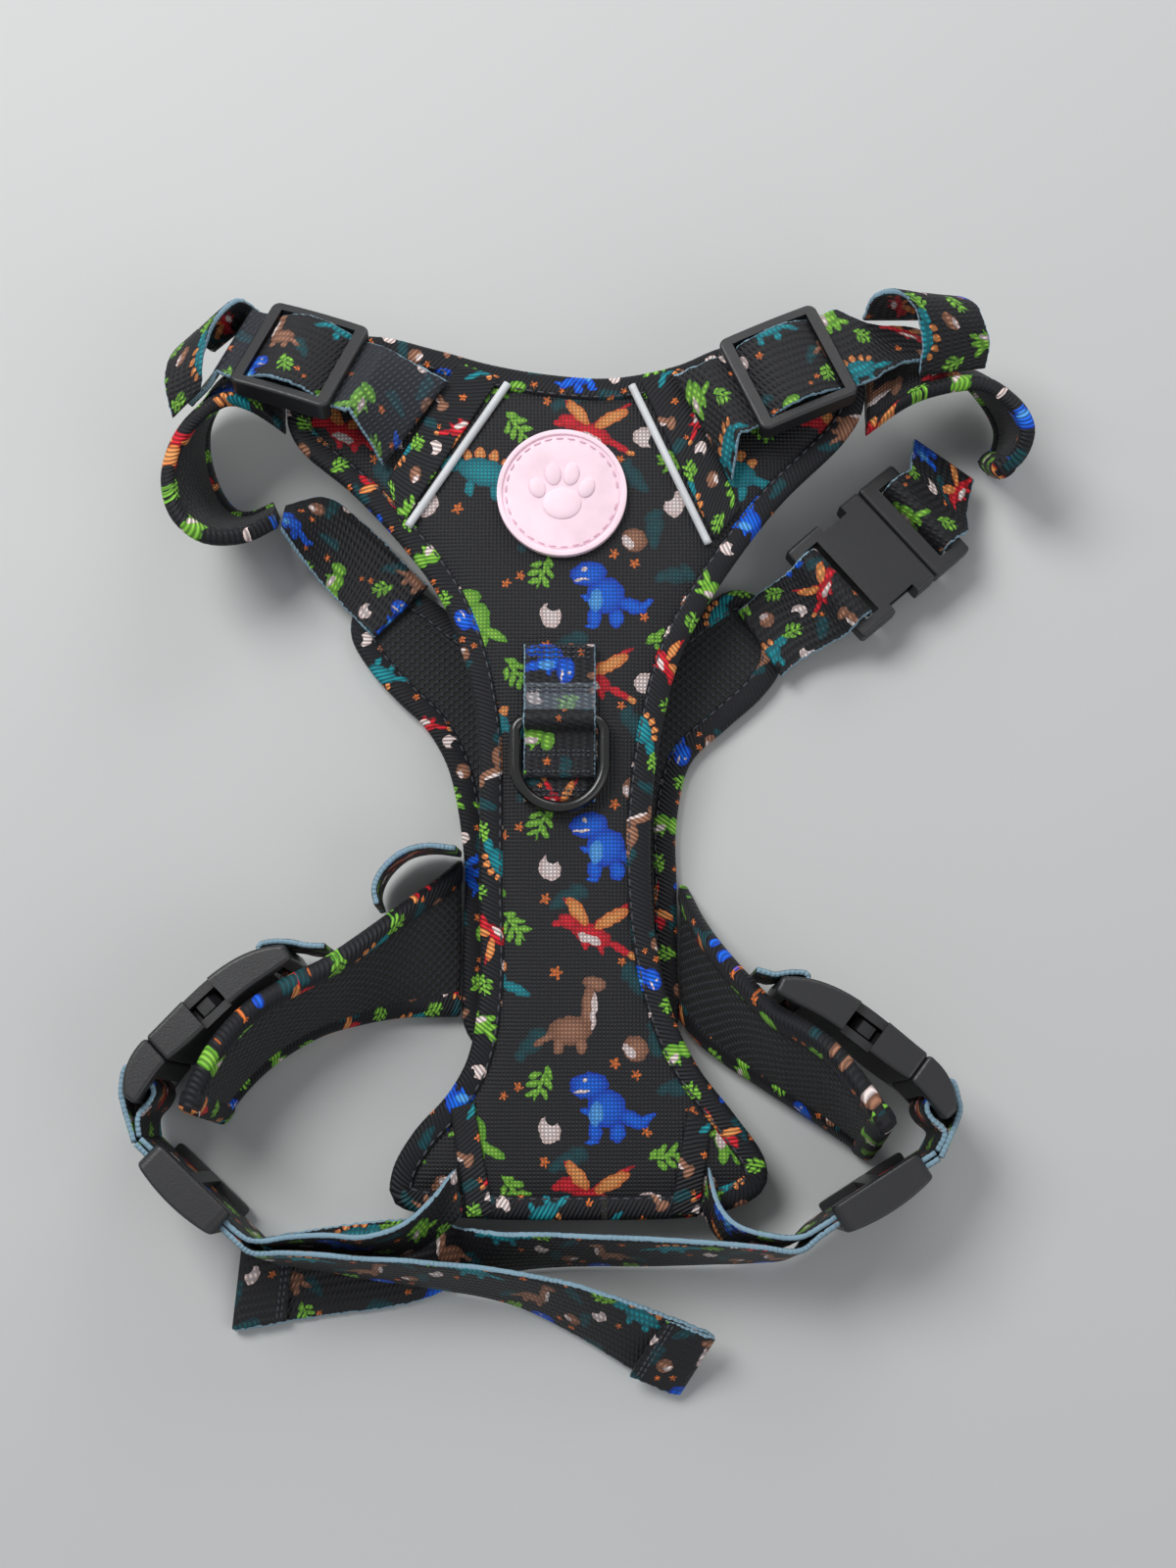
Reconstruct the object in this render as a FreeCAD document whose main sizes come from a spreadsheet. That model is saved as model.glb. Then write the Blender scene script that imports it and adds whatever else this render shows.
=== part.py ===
# A small dog's no pull harness lying on its chest panel, with its straps left adjusted and buckled.
# Millimetres. X runs to the harness's right, Y from the belly end to the neck end, Z up.
import FreeCAD, Part
import math
import os
import Sketcher

from FreeCAD import Vector

SIZES = {
    "webbing_width": 25, "webbing_thickness": 1.6, "strap_gap": 0.2, "running_gap": 0.3,
    "sewn_gap": 0.2, "seat_gap": 0.6, "through_cut": 60,
    "panel_thickness": 5, "lining_thickness": 1.2, "binding_width": 6.5, "binding_proud": 0.2,
    "panel_height": 19.7, "panel_slope": 3.4, "pad_thickness": 4.5, "pad_edge_share": 0.16,
    "chest_thickness": 4.6,
    "badge_radius": 18.4, "badge_thickness": 2.4, "badge_rim": 1.4, "badge_recess": 0.7,
    "piping_radius": 1.1, "yoke_thickness": 1, "strip_thickness": 1,
    "tab_width": 20, "tab_length": 44, "tab_thickness": 1.5,
    "ring_wire": 3.3, "ring_width": 28, "ring_reach": 26,
    "shoulder_slider_length": 30, "shoulder_slider_width": 31, "shoulder_slider_depth": 6.4,
    "shoulder_slider_window": 23, "belly_slider_length": 27, "belly_slider_width": 32.5,
    "belly_slider_depth": 7.6, "belly_slider_window": 18, "slider_bar": 4, "slider_corner": 2.5,
    "shoulder_travel": 3, "belly_travel": 4,
    "bar_length": 4.2, "slot_length": 4.6, "slot_clearance": 1.5, "slot_wall": 3.75,
    "cavity_width": 28.6, "cavity_height": 4.6, "window_length": 9, "window_width": 7,
    "prong_thickness": 3.4, "prong_width": 3.2, "prong_inner": 7.2, "prong_barb": 2.6,
    "guide_width": 5, "buckle_edge": 1.2,
    "belly_female_length": 42.6, "belly_male_length": 14.2, "belly_cavity": 24,
    "neck_female_length": 28, "neck_male_length": 13.6, "neck_cavity": 18, "neck_buckle_depth": 8,
}

doc = FreeCAD.newDocument("no_pull_harness")
sheet = doc.addObject("Spreadsheet::Sheet", "Sizes")
for row, (alias, value) in enumerate(SIZES.items(), start=1):
    sheet.set("A%d" % row, alias)
    sheet.set("B%d" % row, str(value))
    sheet.setAlias("B%d" % row, alias)
doc.recompute()


def size(alias):
    return float(getattr(sheet, alias))


SLOT_WIDTH = "(Sizes.webbing_width + Sizes.slot_clearance)"
BUCKLE_WIDTH = "(Sizes.webbing_width + Sizes.slot_clearance + 2 * Sizes.slot_wall)"

pieces = []


def keep(piece, label):
    piece.Label = label
    pieces.append(piece)
    return piece


def keep_shape(label, shape):
    """A piece whose form is worked out from points rather than from one sketch."""
    piece = doc.addObject("Part::Feature", label)
    piece.Shape = shape
    return keep(piece, label)


# ---- soft goods: bands, webbing and panels -------------------------------------------------

def smooth(points, steps):
    """Rounded run through every point, with steps spans between neighbours."""
    points = [Vector(*point) for point in points]
    run = []
    for number in range(len(points) - 1):
        here = points[number]
        there = points[number + 1]
        before = points[number - 1] if number else here * 2 - there
        after = points[number + 2] if number + 2 < len(points) else there * 2 - here
        for step in range(steps):
            share = step / steps
            bend = (here * 2 + (there - before) * share
                    + (before * 2 - here * 5 + there * 4 - after) * share ** 2
                    + (here * 3 - before - there * 3 + after) * share ** 3)
            run.append(bend * 0.5)
    run.append(points[-1])
    return run


def band(low_rail, high_rail, inner, outer, from_edge=0.0, to_edge=1.0, steps=2):
    """Closed strip between two rails, from the level inner to the level outer of its thickness."""
    low = smooth(low_rail, steps)
    high = smooth(high_rail, steps)
    middle = [(a + b) * 0.5 for a, b in zip(low, high)]
    sections = []
    for number, (a, b) in enumerate(zip(low, high)):
        ahead = middle[min(number + 1, len(middle) - 1)]
        behind = middle[max(number - 1, 0)]
        face = (ahead - behind).cross(b - a).normalize()
        near = a + (b - a) * from_edge
        far = a + (b - a) * to_edge
        corners = [near + face * inner, far + face * inner, far + face * outer, near + face * outer]
        sections.append(Part.makePolygon(corners + corners[:1]))
    return Part.makeLoft(sections, True, True)


def webbing(label, low_rail, high_rail, level=0.0, steps=2):
    half = size("webbing_thickness") / 2
    return keep_shape(label, band(low_rail, high_rail, level - half, level + half, steps=steps))


def padded_band(side, place, low_rail, high_rail, print_side):
    """Padded strip: printed shell, mesh lining, and a binding that wraps both long edges."""
    half = size("pad_thickness") / 2
    lining = half - size("lining_thickness")
    edge = size("pad_edge_share")
    narrowest = min((Vector(*b) - Vector(*a)).Length for a, b in zip(low_rail, high_rail))
    seam = edge - size("sewn_gap") / narrowest
    levels = sorted((print_side * half, -print_side * lining))
    lining_levels = sorted((-print_side * (lining + size("sewn_gap")), -print_side * half))
    keep_shape("%s_pad_%s" % (place, side), band(low_rail, high_rail, *levels, edge, 1 - edge))
    keep_shape("%s_pad_lining_%s" % (place, side),
               band(low_rail, high_rail, *lining_levels, edge, 1 - edge))
    strips = [band(low_rail, high_rail, -half, half, 0, seam),
              band(low_rail, high_rail, -half, half, 1 - seam, 1)]
    keep_shape("%s_pad_binding_%s" % (place, side), Part.makeCompound(strips))


def closed_outline(points):
    curve = Part.BSplineCurve()
    curve.interpolate([Vector(x, y, 0) for x, y in points], PeriodicFlag=True)
    return Part.Wire([curve.toShape()])


def moved_in(points, distance):
    """The same outline, run clockwise, with every point moved inwards by distance."""
    inside = []
    for number, (x, y) in enumerate(points):
        after = points[(number + 1) % len(points)]
        before = points[number - 1]
        run = math.hypot(after[0] - before[0], after[1] - before[1])
        inside.append((x + distance * (after[1] - before[1]) / run,
                       y - distance * (after[0] - before[0]) / run))
    return inside


def bound_panel(name, points, depth, place, lining_on_top=False):
    """Flat panel: a printed shell and a mesh lining, face to face inside a ring of binding."""
    outline = closed_outline(points)
    inset = closed_outline(moved_in(points, size("binding_width") / 2))
    seam = closed_outline(moved_in(points, size("binding_width") / 2 - size("sewn_gap")))
    lining = size("lining_thickness")
    proud = size("binding_proud")
    core = Part.Face(inset)
    shell = core.extrude(Vector(0, 0, depth - lining))
    mesh = core.extrude(Vector(0, 0, lining - size("sewn_gap")))
    if lining_on_top:
        mesh.translate(Vector(0, 0, depth - lining + size("sewn_gap")))
    else:
        shell.translate(Vector(0, 0, lining))
    ring = Part.Face(outline).extrude(Vector(0, 0, depth + 2 * proud))
    ring.translate(Vector(0, 0, -proud))
    hole = Part.Face(seam).extrude(Vector(0, 0, depth * 3))
    hole.translate(Vector(0, 0, -depth))
    for label, shape in ((name, shell), (name + "_lining", mesh), (name + "_binding", ring.cut(hole))):
        shape.Placement = place.multiply(shape.Placement)
        keep_shape(label, shape)


# ---- sketches for the moulded and cut pieces ------------------------------------------------

def new_body(label):
    return keep(doc.addObject("PartDesign::Body", label), label)


def new_sketch(body, role, name, height=None):
    """Sketch on one of the body's own origin planes, raised by height (an expression)."""
    sketch = body.newObject("Sketcher::SketchObject", name)
    plane = [item for item in body.Origin.OriginFeatures if item.Role == role][0]
    sketch.AttachmentSupport = [(plane, "")]
    sketch.MapMode = "FlatFace"
    if height:
        sketch.setExpression("AttachmentOffset.Base.z", height)
    return sketch


def draw(sketch, corners):
    """Closed run of straight lines through corners."""
    count = len(corners)
    lines = [Part.LineSegment(Vector(*corners[i], 0), Vector(*corners[(i + 1) % count], 0))
             for i in range(count)]
    sketch.addGeometry(lines, False)
    for i in range(count):
        sketch.addConstraint(Sketcher.Constraint("Coincident", i, 2, (i + 1) % count, 1))


def draw_box(sketch, left, right, bottom, top):
    """Rectangle whose four sides are expressions of the sheet's sizes."""
    draw(sketch, [(-1, -1), (1, -1), (1, 1), (-1, 1)])
    for line, direction in enumerate(("Horizontal", "Vertical", "Horizontal", "Vertical")):
        sketch.addConstraint(Sketcher.Constraint(direction, line))
    for name, kind, line, start in (("left", "DistanceX", 0, -1), ("bottom", "DistanceY", 0, -1),
                                    ("right", "DistanceX", 2, 1), ("top", "DistanceY", 2, 1)):
        number = sketch.addConstraint(Sketcher.Constraint(kind, -1, 1, line, 1, start))
        sketch.renameConstraint(number, name)
    for name, value in (("left", left), ("right", right), ("bottom", bottom), ("top", top)):
        sketch.setExpression("Constraints." + name, value)


def pad(body, sketch, length, both_ways=False, reverse=False):
    feature = body.newObject("PartDesign::Pad", sketch.Name + "_pad")
    feature.Profile = sketch
    feature.setExpression("Length", length)
    feature.Midplane = both_ways
    feature.Reversed = reverse
    return feature


def pocket(body, sketch, length, both_ways=False, reverse=False):
    feature = body.newObject("PartDesign::Pocket", sketch.Name + "_pocket")
    feature.Profile = sketch
    feature.setExpression("Length", length)
    feature.Midplane = both_ways
    feature.Reversed = reverse
    return feature


def round_edges(body, feature, radius, wanted):
    """Fillet on the edges that wanted accepts."""
    doc.recompute()
    names = ["Edge%d" % (i + 1) for i, edge in enumerate(feature.Shape.Edges) if wanted(edge)]
    fillet = body.newObject("PartDesign::Fillet", feature.Name + "_round")
    fillet.Base = (feature, names)
    fillet.setExpression("Radius", radius)
    return fillet


def is_upright(edge):
    box = edge.BoundBox
    return box.XLength < 0.01 and box.YLength < 0.01


def placed(origin, along, up):
    """Placement that turns local X to along and local Z to up, and puts the origin at origin."""
    along = Vector(*along).normalize()
    up = Vector(*up).normalize()
    across = up.cross(along).normalize()
    return FreeCAD.Placement(Vector(*origin), FreeCAD.Rotation(along, across, up, "XZY"))



def edges_of(sketch, edges):
    """Closed run of lines, arcs and curves, each starting where the last one ends."""
    sketch.addGeometry(edges, False)


def line(start, end):
    return Part.LineSegment(Vector(*start, 0), Vector(*end, 0))


def arc(start, middle, end):
    return Part.Arc(Vector(*start, 0), Vector(*middle, 0), Vector(*end, 0))


def curve_through(points):
    curve = Part.BSplineCurve()
    curve.interpolate([Vector(*point, 0) for point in points])
    return curve


# ---- adjusters ------------------------------------------------------------------------------

def slider(label, kind, place, layers, bow):
    """Frame with a centre bar under the webbing and two end bars over it."""
    length = "Sizes.%s_slider_length" % kind
    width = "Sizes.%s_slider_width" % kind
    depth = "Sizes.%s_slider_depth" % kind
    half_opening = "(Sizes.webbing_width / 2 + Sizes.running_gap)"
    slot = "(%d * Sizes.webbing_thickness / 2 + Sizes.strap_gap / 2 + Sizes.running_gap)" % layers
    half_length = size(kind + "_slider_length") / 2
    half_depth = size(kind + "_slider_depth") / 2
    body = new_body(label)
    side = new_sketch(body, "XZ_Plane", label + "_side")
    edges_of(side, [line((-half_length, -half_depth), (half_length, -half_depth)),
                    line((half_length, -half_depth), (half_length, half_depth)),
                    arc((half_length, half_depth), (0, half_depth + bow), (-half_length, half_depth)),
                    line((-half_length, half_depth), (-half_length, -half_depth))])
    block = pad(body, side, width, both_ways=True)
    block = round_edges(body, block, "Sizes.slider_corner", is_upright)
    round_edges(body, block, "Sizes.buckle_edge * 0.7", lambda edge: not is_upright(edge))
    window = new_sketch(body, "XY_Plane", label + "_window")
    half_window = "Sizes.%s_slider_window / 2" % kind
    draw_box(window, "-" + half_window, half_window, "-" + half_opening, half_opening)
    pocket(body, window, depth + " * 3", both_ways=True)
    passage = new_sketch(body, "YZ_Plane", label + "_passage")
    draw_box(passage, "-" + half_opening, half_opening, "-" + depth, slot)
    pocket(body, passage, length + " * 2", both_ways=True)
    bar = new_sketch(body, "XY_Plane", label + "_bar", "-" + depth + " / 2")
    draw_box(bar, "-Sizes.slider_bar / 2", "Sizes.slider_bar / 2",
             "-" + half_opening + " - 1", half_opening + " + 1")
    pad(body, bar, depth + " / 2 - " + slot)
    body.Placement = place
    return body


# ---- side release buckles -------------------------------------------------------------------

def buckle_half(label, kind, half, place, outer, inner):
    """One half of a buckle from its side view, with its slot and bar for the webbing."""
    body = new_body(label)
    side = new_sketch(body, "XZ_Plane", label + "_side")
    edges_of(side, [curve_through(outer), line(outer[-1], inner[-1]),
                    curve_through(inner[::-1]), line(inner[0], outer[0])])
    block = pad(body, side, BUCKLE_WIDTH, both_ways=True)
    round_edges(body, block, "Sizes.buckle_edge", lambda edge: True)
    away = "-" if half == "female" else ""
    length = "Sizes.%s_%s_length" % (kind, half)
    near = "%s(%s - Sizes.bar_length - Sizes.slot_length)" % (away, length)
    far = "%s(%s - Sizes.bar_length)" % (away, length)
    slot = new_sketch(body, "XY_Plane", label + "_slot")
    draw_box(slot, far if away else near, near if away else far,
             "-" + SLOT_WIDTH + " / 2", SLOT_WIDTH + " / 2")
    pocket(body, slot, "Sizes.through_cut", both_ways=True)
    body.Placement = place
    return body


def buckle_female(label, kind, place, outer, inner):
    body = buckle_half(label, kind, "female", place, outer, inner)
    depth = "Sizes.%s_cavity" % kind
    mouth = new_sketch(body, "YZ_Plane", label + "_mouth")
    draw_box(mouth, "-Sizes.cavity_width / 2", "Sizes.cavity_width / 2",
             "-Sizes.cavity_height / 2", "Sizes.cavity_height / 2")
    pocket(body, mouth, depth)
    for end, sign in (("low", "-"), ("high", "")):
        window = new_sketch(body, "XY_Plane", label + "_window_" + end)
        inside = "%s(%s - Sizes.window_width + 1) / 2" % (sign, BUCKLE_WIDTH)
        outside = sign + BUCKLE_WIDTH
        far = "-(%s - 2)" % depth
        near = "-(%s - 2 - Sizes.window_length)" % depth
        draw_box(window, far, near, outside if sign else inside, inside if sign else outside)
        pocket(body, window, "Sizes.through_cut", both_ways=True)
    return body


def buckle_male(label, kind, place, outer, inner):
    body = buckle_half(label, kind, "male", place, outer, inner)
    guide = new_sketch(body, "YZ_Plane", label + "_guide")
    draw_box(guide, "-Sizes.guide_width / 2", "Sizes.guide_width / 2",
             "-Sizes.prong_thickness / 2", "Sizes.prong_thickness / 2")
    pad(body, guide, "Sizes.%s_cavity - 3" % kind, reverse=True)
    return body


def prong(label, kind, place, side):
    """Springy arm with its barb, beside the guide; side is 1 or -1."""
    reach = size(kind + "_cavity") - 2.5
    inner = size("prong_inner")
    outer = inner + size("prong_width")
    barb = outer + size("prong_barb")
    root = size("running_gap") + 0.2
    points = [(-root, inner), (-reach + 1, inner + 0.5), (-reach, inner + 1.5),
              (-reach + 1, barb - 1.6), (-reach + 3, barb), (-reach + 7, barb - 0.3),
              (-reach + 8, outer), (-root, outer)]
    body = new_body(label)
    outline = new_sketch(body, "XY_Plane", label + "_outline")
    draw(outline, [(x, y * side) for x, y in points])
    pad(body, outline, "Sizes.prong_thickness", both_ways=True)
    body.Placement = place
    return body


def buckle(place_name, kind, place, female_sides, male_sides, prong_names):
    buckle_female(place_name + "_female", kind, place, *female_sides)
    buckle_male(place_name + "_male", kind, place, *male_sides)
    for end, side in zip(prong_names, (-1, 1)):
        prong("%s_prong_%s" % (place_name, end), kind, place, side)


# ---- back panel and what is sewn on it --------------------------------------------------------

PANEL = FreeCAD.Placement(Vector(0, 0, size("panel_height")),
                          FreeCAD.Rotation(Vector(1, 0, 0), size("panel_slope")))


def on_panel(x, y, z=0.0):
    """Placement on the top face of the back panel."""
    return PANEL.multiply(FreeCAD.Placement(Vector(x, y, z), FreeCAD.Rotation()))


BACK_OUTLINE = [
    (3, -105.5), (-28, -105), (-48, -102), (-50, -93), (-44, -82), (-35, -72), (-29, -60), (-26.5, -40),
    (-27, -14), (-27, 13), (-28, 31), (-32, 50), (-39, 67), (-50, 82), (-64, 97), (-80, 111), (-83, 124),
    (-79, 138), (-60, 143), (-41, 139), (-25, 134.5), (-8, 131.5), (10, 130.5), (28, 134), (43, 140),
    (62, 141), (79, 135), (82, 124), (76, 112), (57, 93), (40, 70), (29.5, 51), (24.5, 34), (21, 13),
    (20, -9), (21.5, -30), (26, -50), (33, -65), (43, -78), (51, -90), (49, -99), (33, -104.5)]

CHEST_OUTLINE = [
    (-2, -63), (-22, -61), (-31, -54), (-32, -40), (-32, -24), (-32, -6), (-36, 18), (-43, 32), (-52, 41),
    (-60, 50), (-66, 61), (-63, 72), (-54, 76), (-44, 72), (-26, 59), (-1, 52), (22, 58), (38, 70),
    (46, 74), (54, 71), (59, 62), (59, 51), (53, 42), (43, 33), (32, 22), (28, 4), (28, -14), (28, -34),
    (28, -52), (22, -60)]


def badge():
    body = new_body("badge")
    half = new_sketch(body, "XZ_Plane", "badge_half")
    radius = size("badge_radius")
    top = size("badge_thickness")
    rim = radius - size("badge_rim")
    floor = top - size("badge_recess")
    draw(half, [(0, 0), (radius, 0), (radius, top), (rim, top), (rim, floor), (0, floor)])
    turned = body.newObject("PartDesign::Revolution", "badge_turned")
    turned.Profile = half
    turned.ReferenceAxis = (half, ["V_Axis"])
    turned.Angle = 360
    body.Placement = on_panel(-4.4, 96)


def piping_and_yokes():
    radius = size("piping_radius")
    cords = []
    for start, end in (((-20, 128.5), (-48, 86.5)), ((15.5, 128), (37, 81.5))):
        run = Vector(*end, 0) - Vector(*start, 0)
        cord = Part.makeCylinder(radius, run.Length, Vector(0, 0, 0), Vector(1, 0, 0), 180)
        cord.rotate(Vector(0, 0, 0), Vector(1, 0, 0), -90)
        turned = FreeCAD.Placement(Vector(*start, 0), FreeCAD.Rotation(Vector(1, 0, 0), run))
        cord.Placement = PANEL.multiply(turned).multiply(cord.Placement)
        if cord.CenterOfMass.z < on_panel(*start).Base.z - 5:
            raise RuntimeError("piping lies under the panel")
        cords.append(cord)
    keep_shape("piping", Part.makeCompound(cords))
    strips = []
    for corners in ([(-22, 130), (-34, 132), (-53.5, 101), (-50, 88)],
                    [(17.5, 129), (29, 131), (45.5, 93), (39.5, 83.5)]):
        outline = Part.makePolygon([Vector(*c, 0) for c in corners + corners[:1]])
        strip = Part.Face(outline).extrude(Vector(0, 0, size("yoke_thickness")))
        strip.Placement = PANEL.multiply(strip.Placement)
        strips.append(strip)
    keep_shape("yoke_strips", Part.makeCompound(strips))


RING_X = -4.9
RING_Y = 30.5


def leash_point():
    tab = doc.addObject("Part::Box", "leash_tab")
    tab.setExpression("Length", "Sizes.tab_width")
    tab.setExpression("Width", "Sizes.tab_length")
    tab.setExpression("Height", "Sizes.tab_thickness")
    tab.Placement = on_panel(RING_X - size("tab_width") / 2, RING_Y - size("tab_length") + 21.5)
    keep(tab, "leash_tab")

    thick = size("tab_thickness")
    inside = size("ring_wire") / 2 + size("running_gap")
    outside = inside + thick
    body = new_body("ring_loop")
    side = new_sketch(body, "YZ_Plane", "ring_loop_side")
    edges_of(side, [
        line((-16, 0), (-inside, 0)), line((-inside, 0), (-inside, inside)),
        arc((-inside, inside), (0, 2 * inside), (inside, inside)), line((inside, inside), (inside, 0)),
        line((inside, 0), (21.5, 0)), line((21.5, 0), (21.5, thick)), line((21.5, thick), (outside, thick)),
        line((outside, thick), (outside, inside)),
        arc((outside, inside), (0, inside + outside), (-outside, inside)),
        line((-outside, inside), (-outside, thick)), line((-outside, thick), (-16, thick)),
        line((-16, thick), (-16, 0))])
    pad(body, side, "Sizes.tab_width", both_ways=True)
    body.Placement = on_panel(RING_X, RING_Y, thick)

    ring = new_body("back_d_ring")
    wire = size("ring_wire")
    half = (size("ring_width") - wire) / 2
    shoulder = -(size("ring_reach") - wire / 2 - half)
    corner = 3.2
    path = new_sketch(ring, "XY_Plane", "ring_path")
    slant = corner * (1 - math.sqrt(0.5))
    edges_of(path, [
        line((0, 0), (half - corner, 0)), arc((half - corner, 0), (half - slant, -slant), (half, -corner)),
        line((half, -corner), (half, shoulder)), arc((half, shoulder), (0, shoulder - half), (-half, shoulder)),
        line((-half, shoulder), (-half, -corner)),
        arc((-half, -corner), (-half + slant, -slant), (-half + corner, 0)),
        line((-half + corner, 0), (0, 0))])
    section = new_sketch(ring, "YZ_Plane", "ring_section")
    section.addGeometry(Part.Circle(Vector(0, 0, 0), Vector(0, 0, 1), wire / 2), False)
    section.addConstraint(Sketcher.Constraint("Coincident", 0, 3, -1, 1))
    number = section.addConstraint(Sketcher.Constraint("Diameter", 0, wire))
    section.renameConstraint(number, "wire")
    section.setExpression("Constraints.wire", "Sizes.ring_wire")
    bent = ring.newObject("PartDesign::AdditivePipe", "ring_bent")
    bent.Profile = section
    bent.Spine = (path, ["Edge%d" % (i + 1) for i in range(7)])
    ring.Placement = on_panel(RING_X, RING_Y, thick + inside)


def root_strips():
    strips = []
    for corners in ([(-34, -77), (-28, -75), (-22.5, -104), (-30, -104.5)],
                    [(30, -77), (36, -80), (33, -103.5), (25, -104)]):
        outline = Part.makePolygon([Vector(*c, 0) for c in corners + corners[:1]])
        strip = Part.Face(outline).extrude(Vector(0, 0, size("strip_thickness")))
        strip.Placement = PANEL.multiply(strip.Placement)
        strips.append(strip)
    keep_shape("root_strips", Part.makeCompound(strips))


bound_panel("back_panel", BACK_OUTLINE, size("panel_thickness"),
            on_panel(0, 0, -size("panel_thickness") - size("binding_proud")))
badge()
piping_and_yokes()
leash_point()
root_strips()
bound_panel("chest_panel", CHEST_OUTLINE, size("chest_thickness"),
            FreeCAD.Placement(Vector(0, 0, size("binding_proud")), FreeCAD.Rotation()), lining_on_top=True)


# ---- shoulder straps, their sliders and keepers -------------------------------------------------

def across(place, points):
    """Two rails of webbing from points (along, height) of a slider's or buckle's own frame."""
    half = size("webbing_width") / 2
    return [[place.multVec(Vector(x, y, z)) for x, z in points] for y in (-half, half)]


SHOULDER = {
    "left": placed((-78, 132, 34.8), (-0.93, 0.33, -0.12), (-0.05, 0.315, 0.95)),
    "right": placed((59.5, 129.5, 33), (0.915, 0.40, -0.02), (-0.02, 0.1, 0.99)),
}
# Ends of each shoulder strap: at the yoke strip, and beyond the slider down the pad's print side.
SHOULDER_ROOT = {"left": [(-55.2, 103.5, 27.4), (-37, 128.5, 28.9)],
                 "right": [(27.5, 130, 29.4), (44, 98.5, 27.5)]}
SHOULDER_END = {
    "left": ([(-104, 124, 35), (-109, 118.8, 34.6)], [(-101, 142.5, 18), (-113.5, 128.5, 12)]),
    "right": ([(84, 144.5, 31), (97, 145.5, 26), (108, 143.5, 18)],
              [(92, 131.5, 34), (101, 131.5, 35), (108, 131.5, 35)]),
}
for side, place in SHOULDER.items():
    slider("shoulder_slider_" + side, "shoulder", place, 1, 0.6)
    straight = size("shoulder_slider_length") / 2 + size("shoulder_travel") + size("running_gap")
    reach = straight + size("webbing_thickness") * 1.5
    rails = across(place, [(x, 0) for x in (-reach, -straight, 0, straight, reach)])
    first, second = rails
    front, back = (second, first) if side == "left" else (first, second)
    root = [Vector(*point) for point in SHOULDER_ROOT[side]]
    ends = [[Vector(*point) for point in run] for run in SHOULDER_END[side]]
    if side == "left":
        webbing("shoulder_strap_left", [root[0]] + front + ends[0], [root[1]] + back + ends[1])
    else:
        webbing("shoulder_strap_right", [root[1]] + front + ends[1], [root[0]] + back + ends[0])

webbing("keeper_right",
        [(82, 148, 28), (83.5, 150, 38), (89, 148.5, 44), (94, 143, 44.5), (96.5, 135, 40), (96.5, 128.5, 33)],
        [(104, 149, 26), (106, 149.5, 37), (111, 145, 43), (114, 138.5, 43), (115.5, 134, 39.5), (115.5, 129.5, 36)])
webbing("keeper_left",
        [(-91.8, 151.5, 24.7), (-96, 151, 34), (-101, 143, 39.5), (-104, 132, 41), (-105, 122, 38.2)],
        [(-106.5, 141.5, 19.7), (-111, 140, 29), (-114.5, 131, 37), (-115, 122, 39), (-113, 114, 37)])


# ---- neck pads, neck links and neck buckle -------------------------------------------------------

padded_band("left", "neck",
            [(-84, 114.5, 24.3), (-92, 119.5, 30), (-99, 120, 35), (-106, 114, 38), (-111.5, 106, 38.5),
             (-114, 96, 38), (-111.5, 86, 37), (-104, 80, 35), (-94, 81.5, 30), (-86, 88, 24)],
            [(-85, 136, 25.5), (-96, 138, 17), (-105, 135, 9), (-111, 127, 4), (-111.5, 117, 2.7),
             (-108.5, 107, 2.7), (-104.5, 100, 2.7), (-100, 96.5, 2.7), (-95, 96.5, 2.7), (-89, 99, 3)], -1)
padded_band("right", "neck",
            [(82.8, 114, 24.2), (96, 122.5, 30), (112, 124.5, 36), (121, 119, 38), (126, 111.5, 37),
             (124.5, 105, 32), (119, 102, 25)],
            [(82.8, 136, 25.4), (98, 142, 18), (112, 141, 9), (121.5, 134, 3.5), (126, 124.5, 2.7),
             (124.5, 116, 2.7), (120, 112, 3)], 1)

webbing("neck_link_left",
        [(-84.5, 87, 21.5), (-80, 81, 14), (-74, 74, 8.5), (-66, 66, 6.1), (-59, 59, 6.1)],
        [(-86.5, 99.5, 4), (-74, 102, 5), (-62, 93, 6), (-50.5, 81.5, 6.1), (-43.5, 74.5, 6.1)])

NECK_BUCKLE = placed((92.3, 88, 10.2), (0.759, 0.651, 0), (0, 0, 1))
half_depth = size("neck_buckle_depth") / 2
NECK_FEMALE = [(0, half_depth), (-9, half_depth), (-20, half_depth - 0.3), (-28, half_depth - 1.4)]
NECK_MALE = [(0, half_depth), (6, half_depth - 0.3), (13.6, half_depth - 1.4)]
buckle("neck_buckle", "neck", NECK_BUCKLE, (NECK_FEMALE, [(x, -z) for x, z in NECK_FEMALE]),
       (NECK_MALE, [(x, -z) for x, z in NECK_MALE]), ("right", "left"))
over_bar = half_depth - 1 + size("running_gap") + size("webbing_thickness") / 2
upper = across(NECK_BUCKLE, [(7, -1), (7.1, 2.5), (9, over_bar + 1), (12.8, over_bar), (16.8, 1.5)])
webbing("neck_link_right_upper",
        upper[0] + [Vector(113.5, 96, 10.5), Vector(116.3, 106, 8)],
        upper[1] + [Vector(97.5, 113, 10.5), Vector(99, 119, 8)])
lower = across(NECK_BUCKLE, [(-21.3, -1), (-21.4, 2.5), (-23.4, over_bar + 1), (-27.3, over_bar), (-31.6, 0.5)])
webbing("neck_link_right_lower",
        lower[0] + [Vector(66, 53, 6.4), Vector(59, 47.5, 6.1)],
        lower[1] + [Vector(53.5, 73, 6.4), Vector(46.5, 67, 6.1)])


# ---- belly pads, belly buckles, their sliders and straps ------------------------------------------

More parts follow.
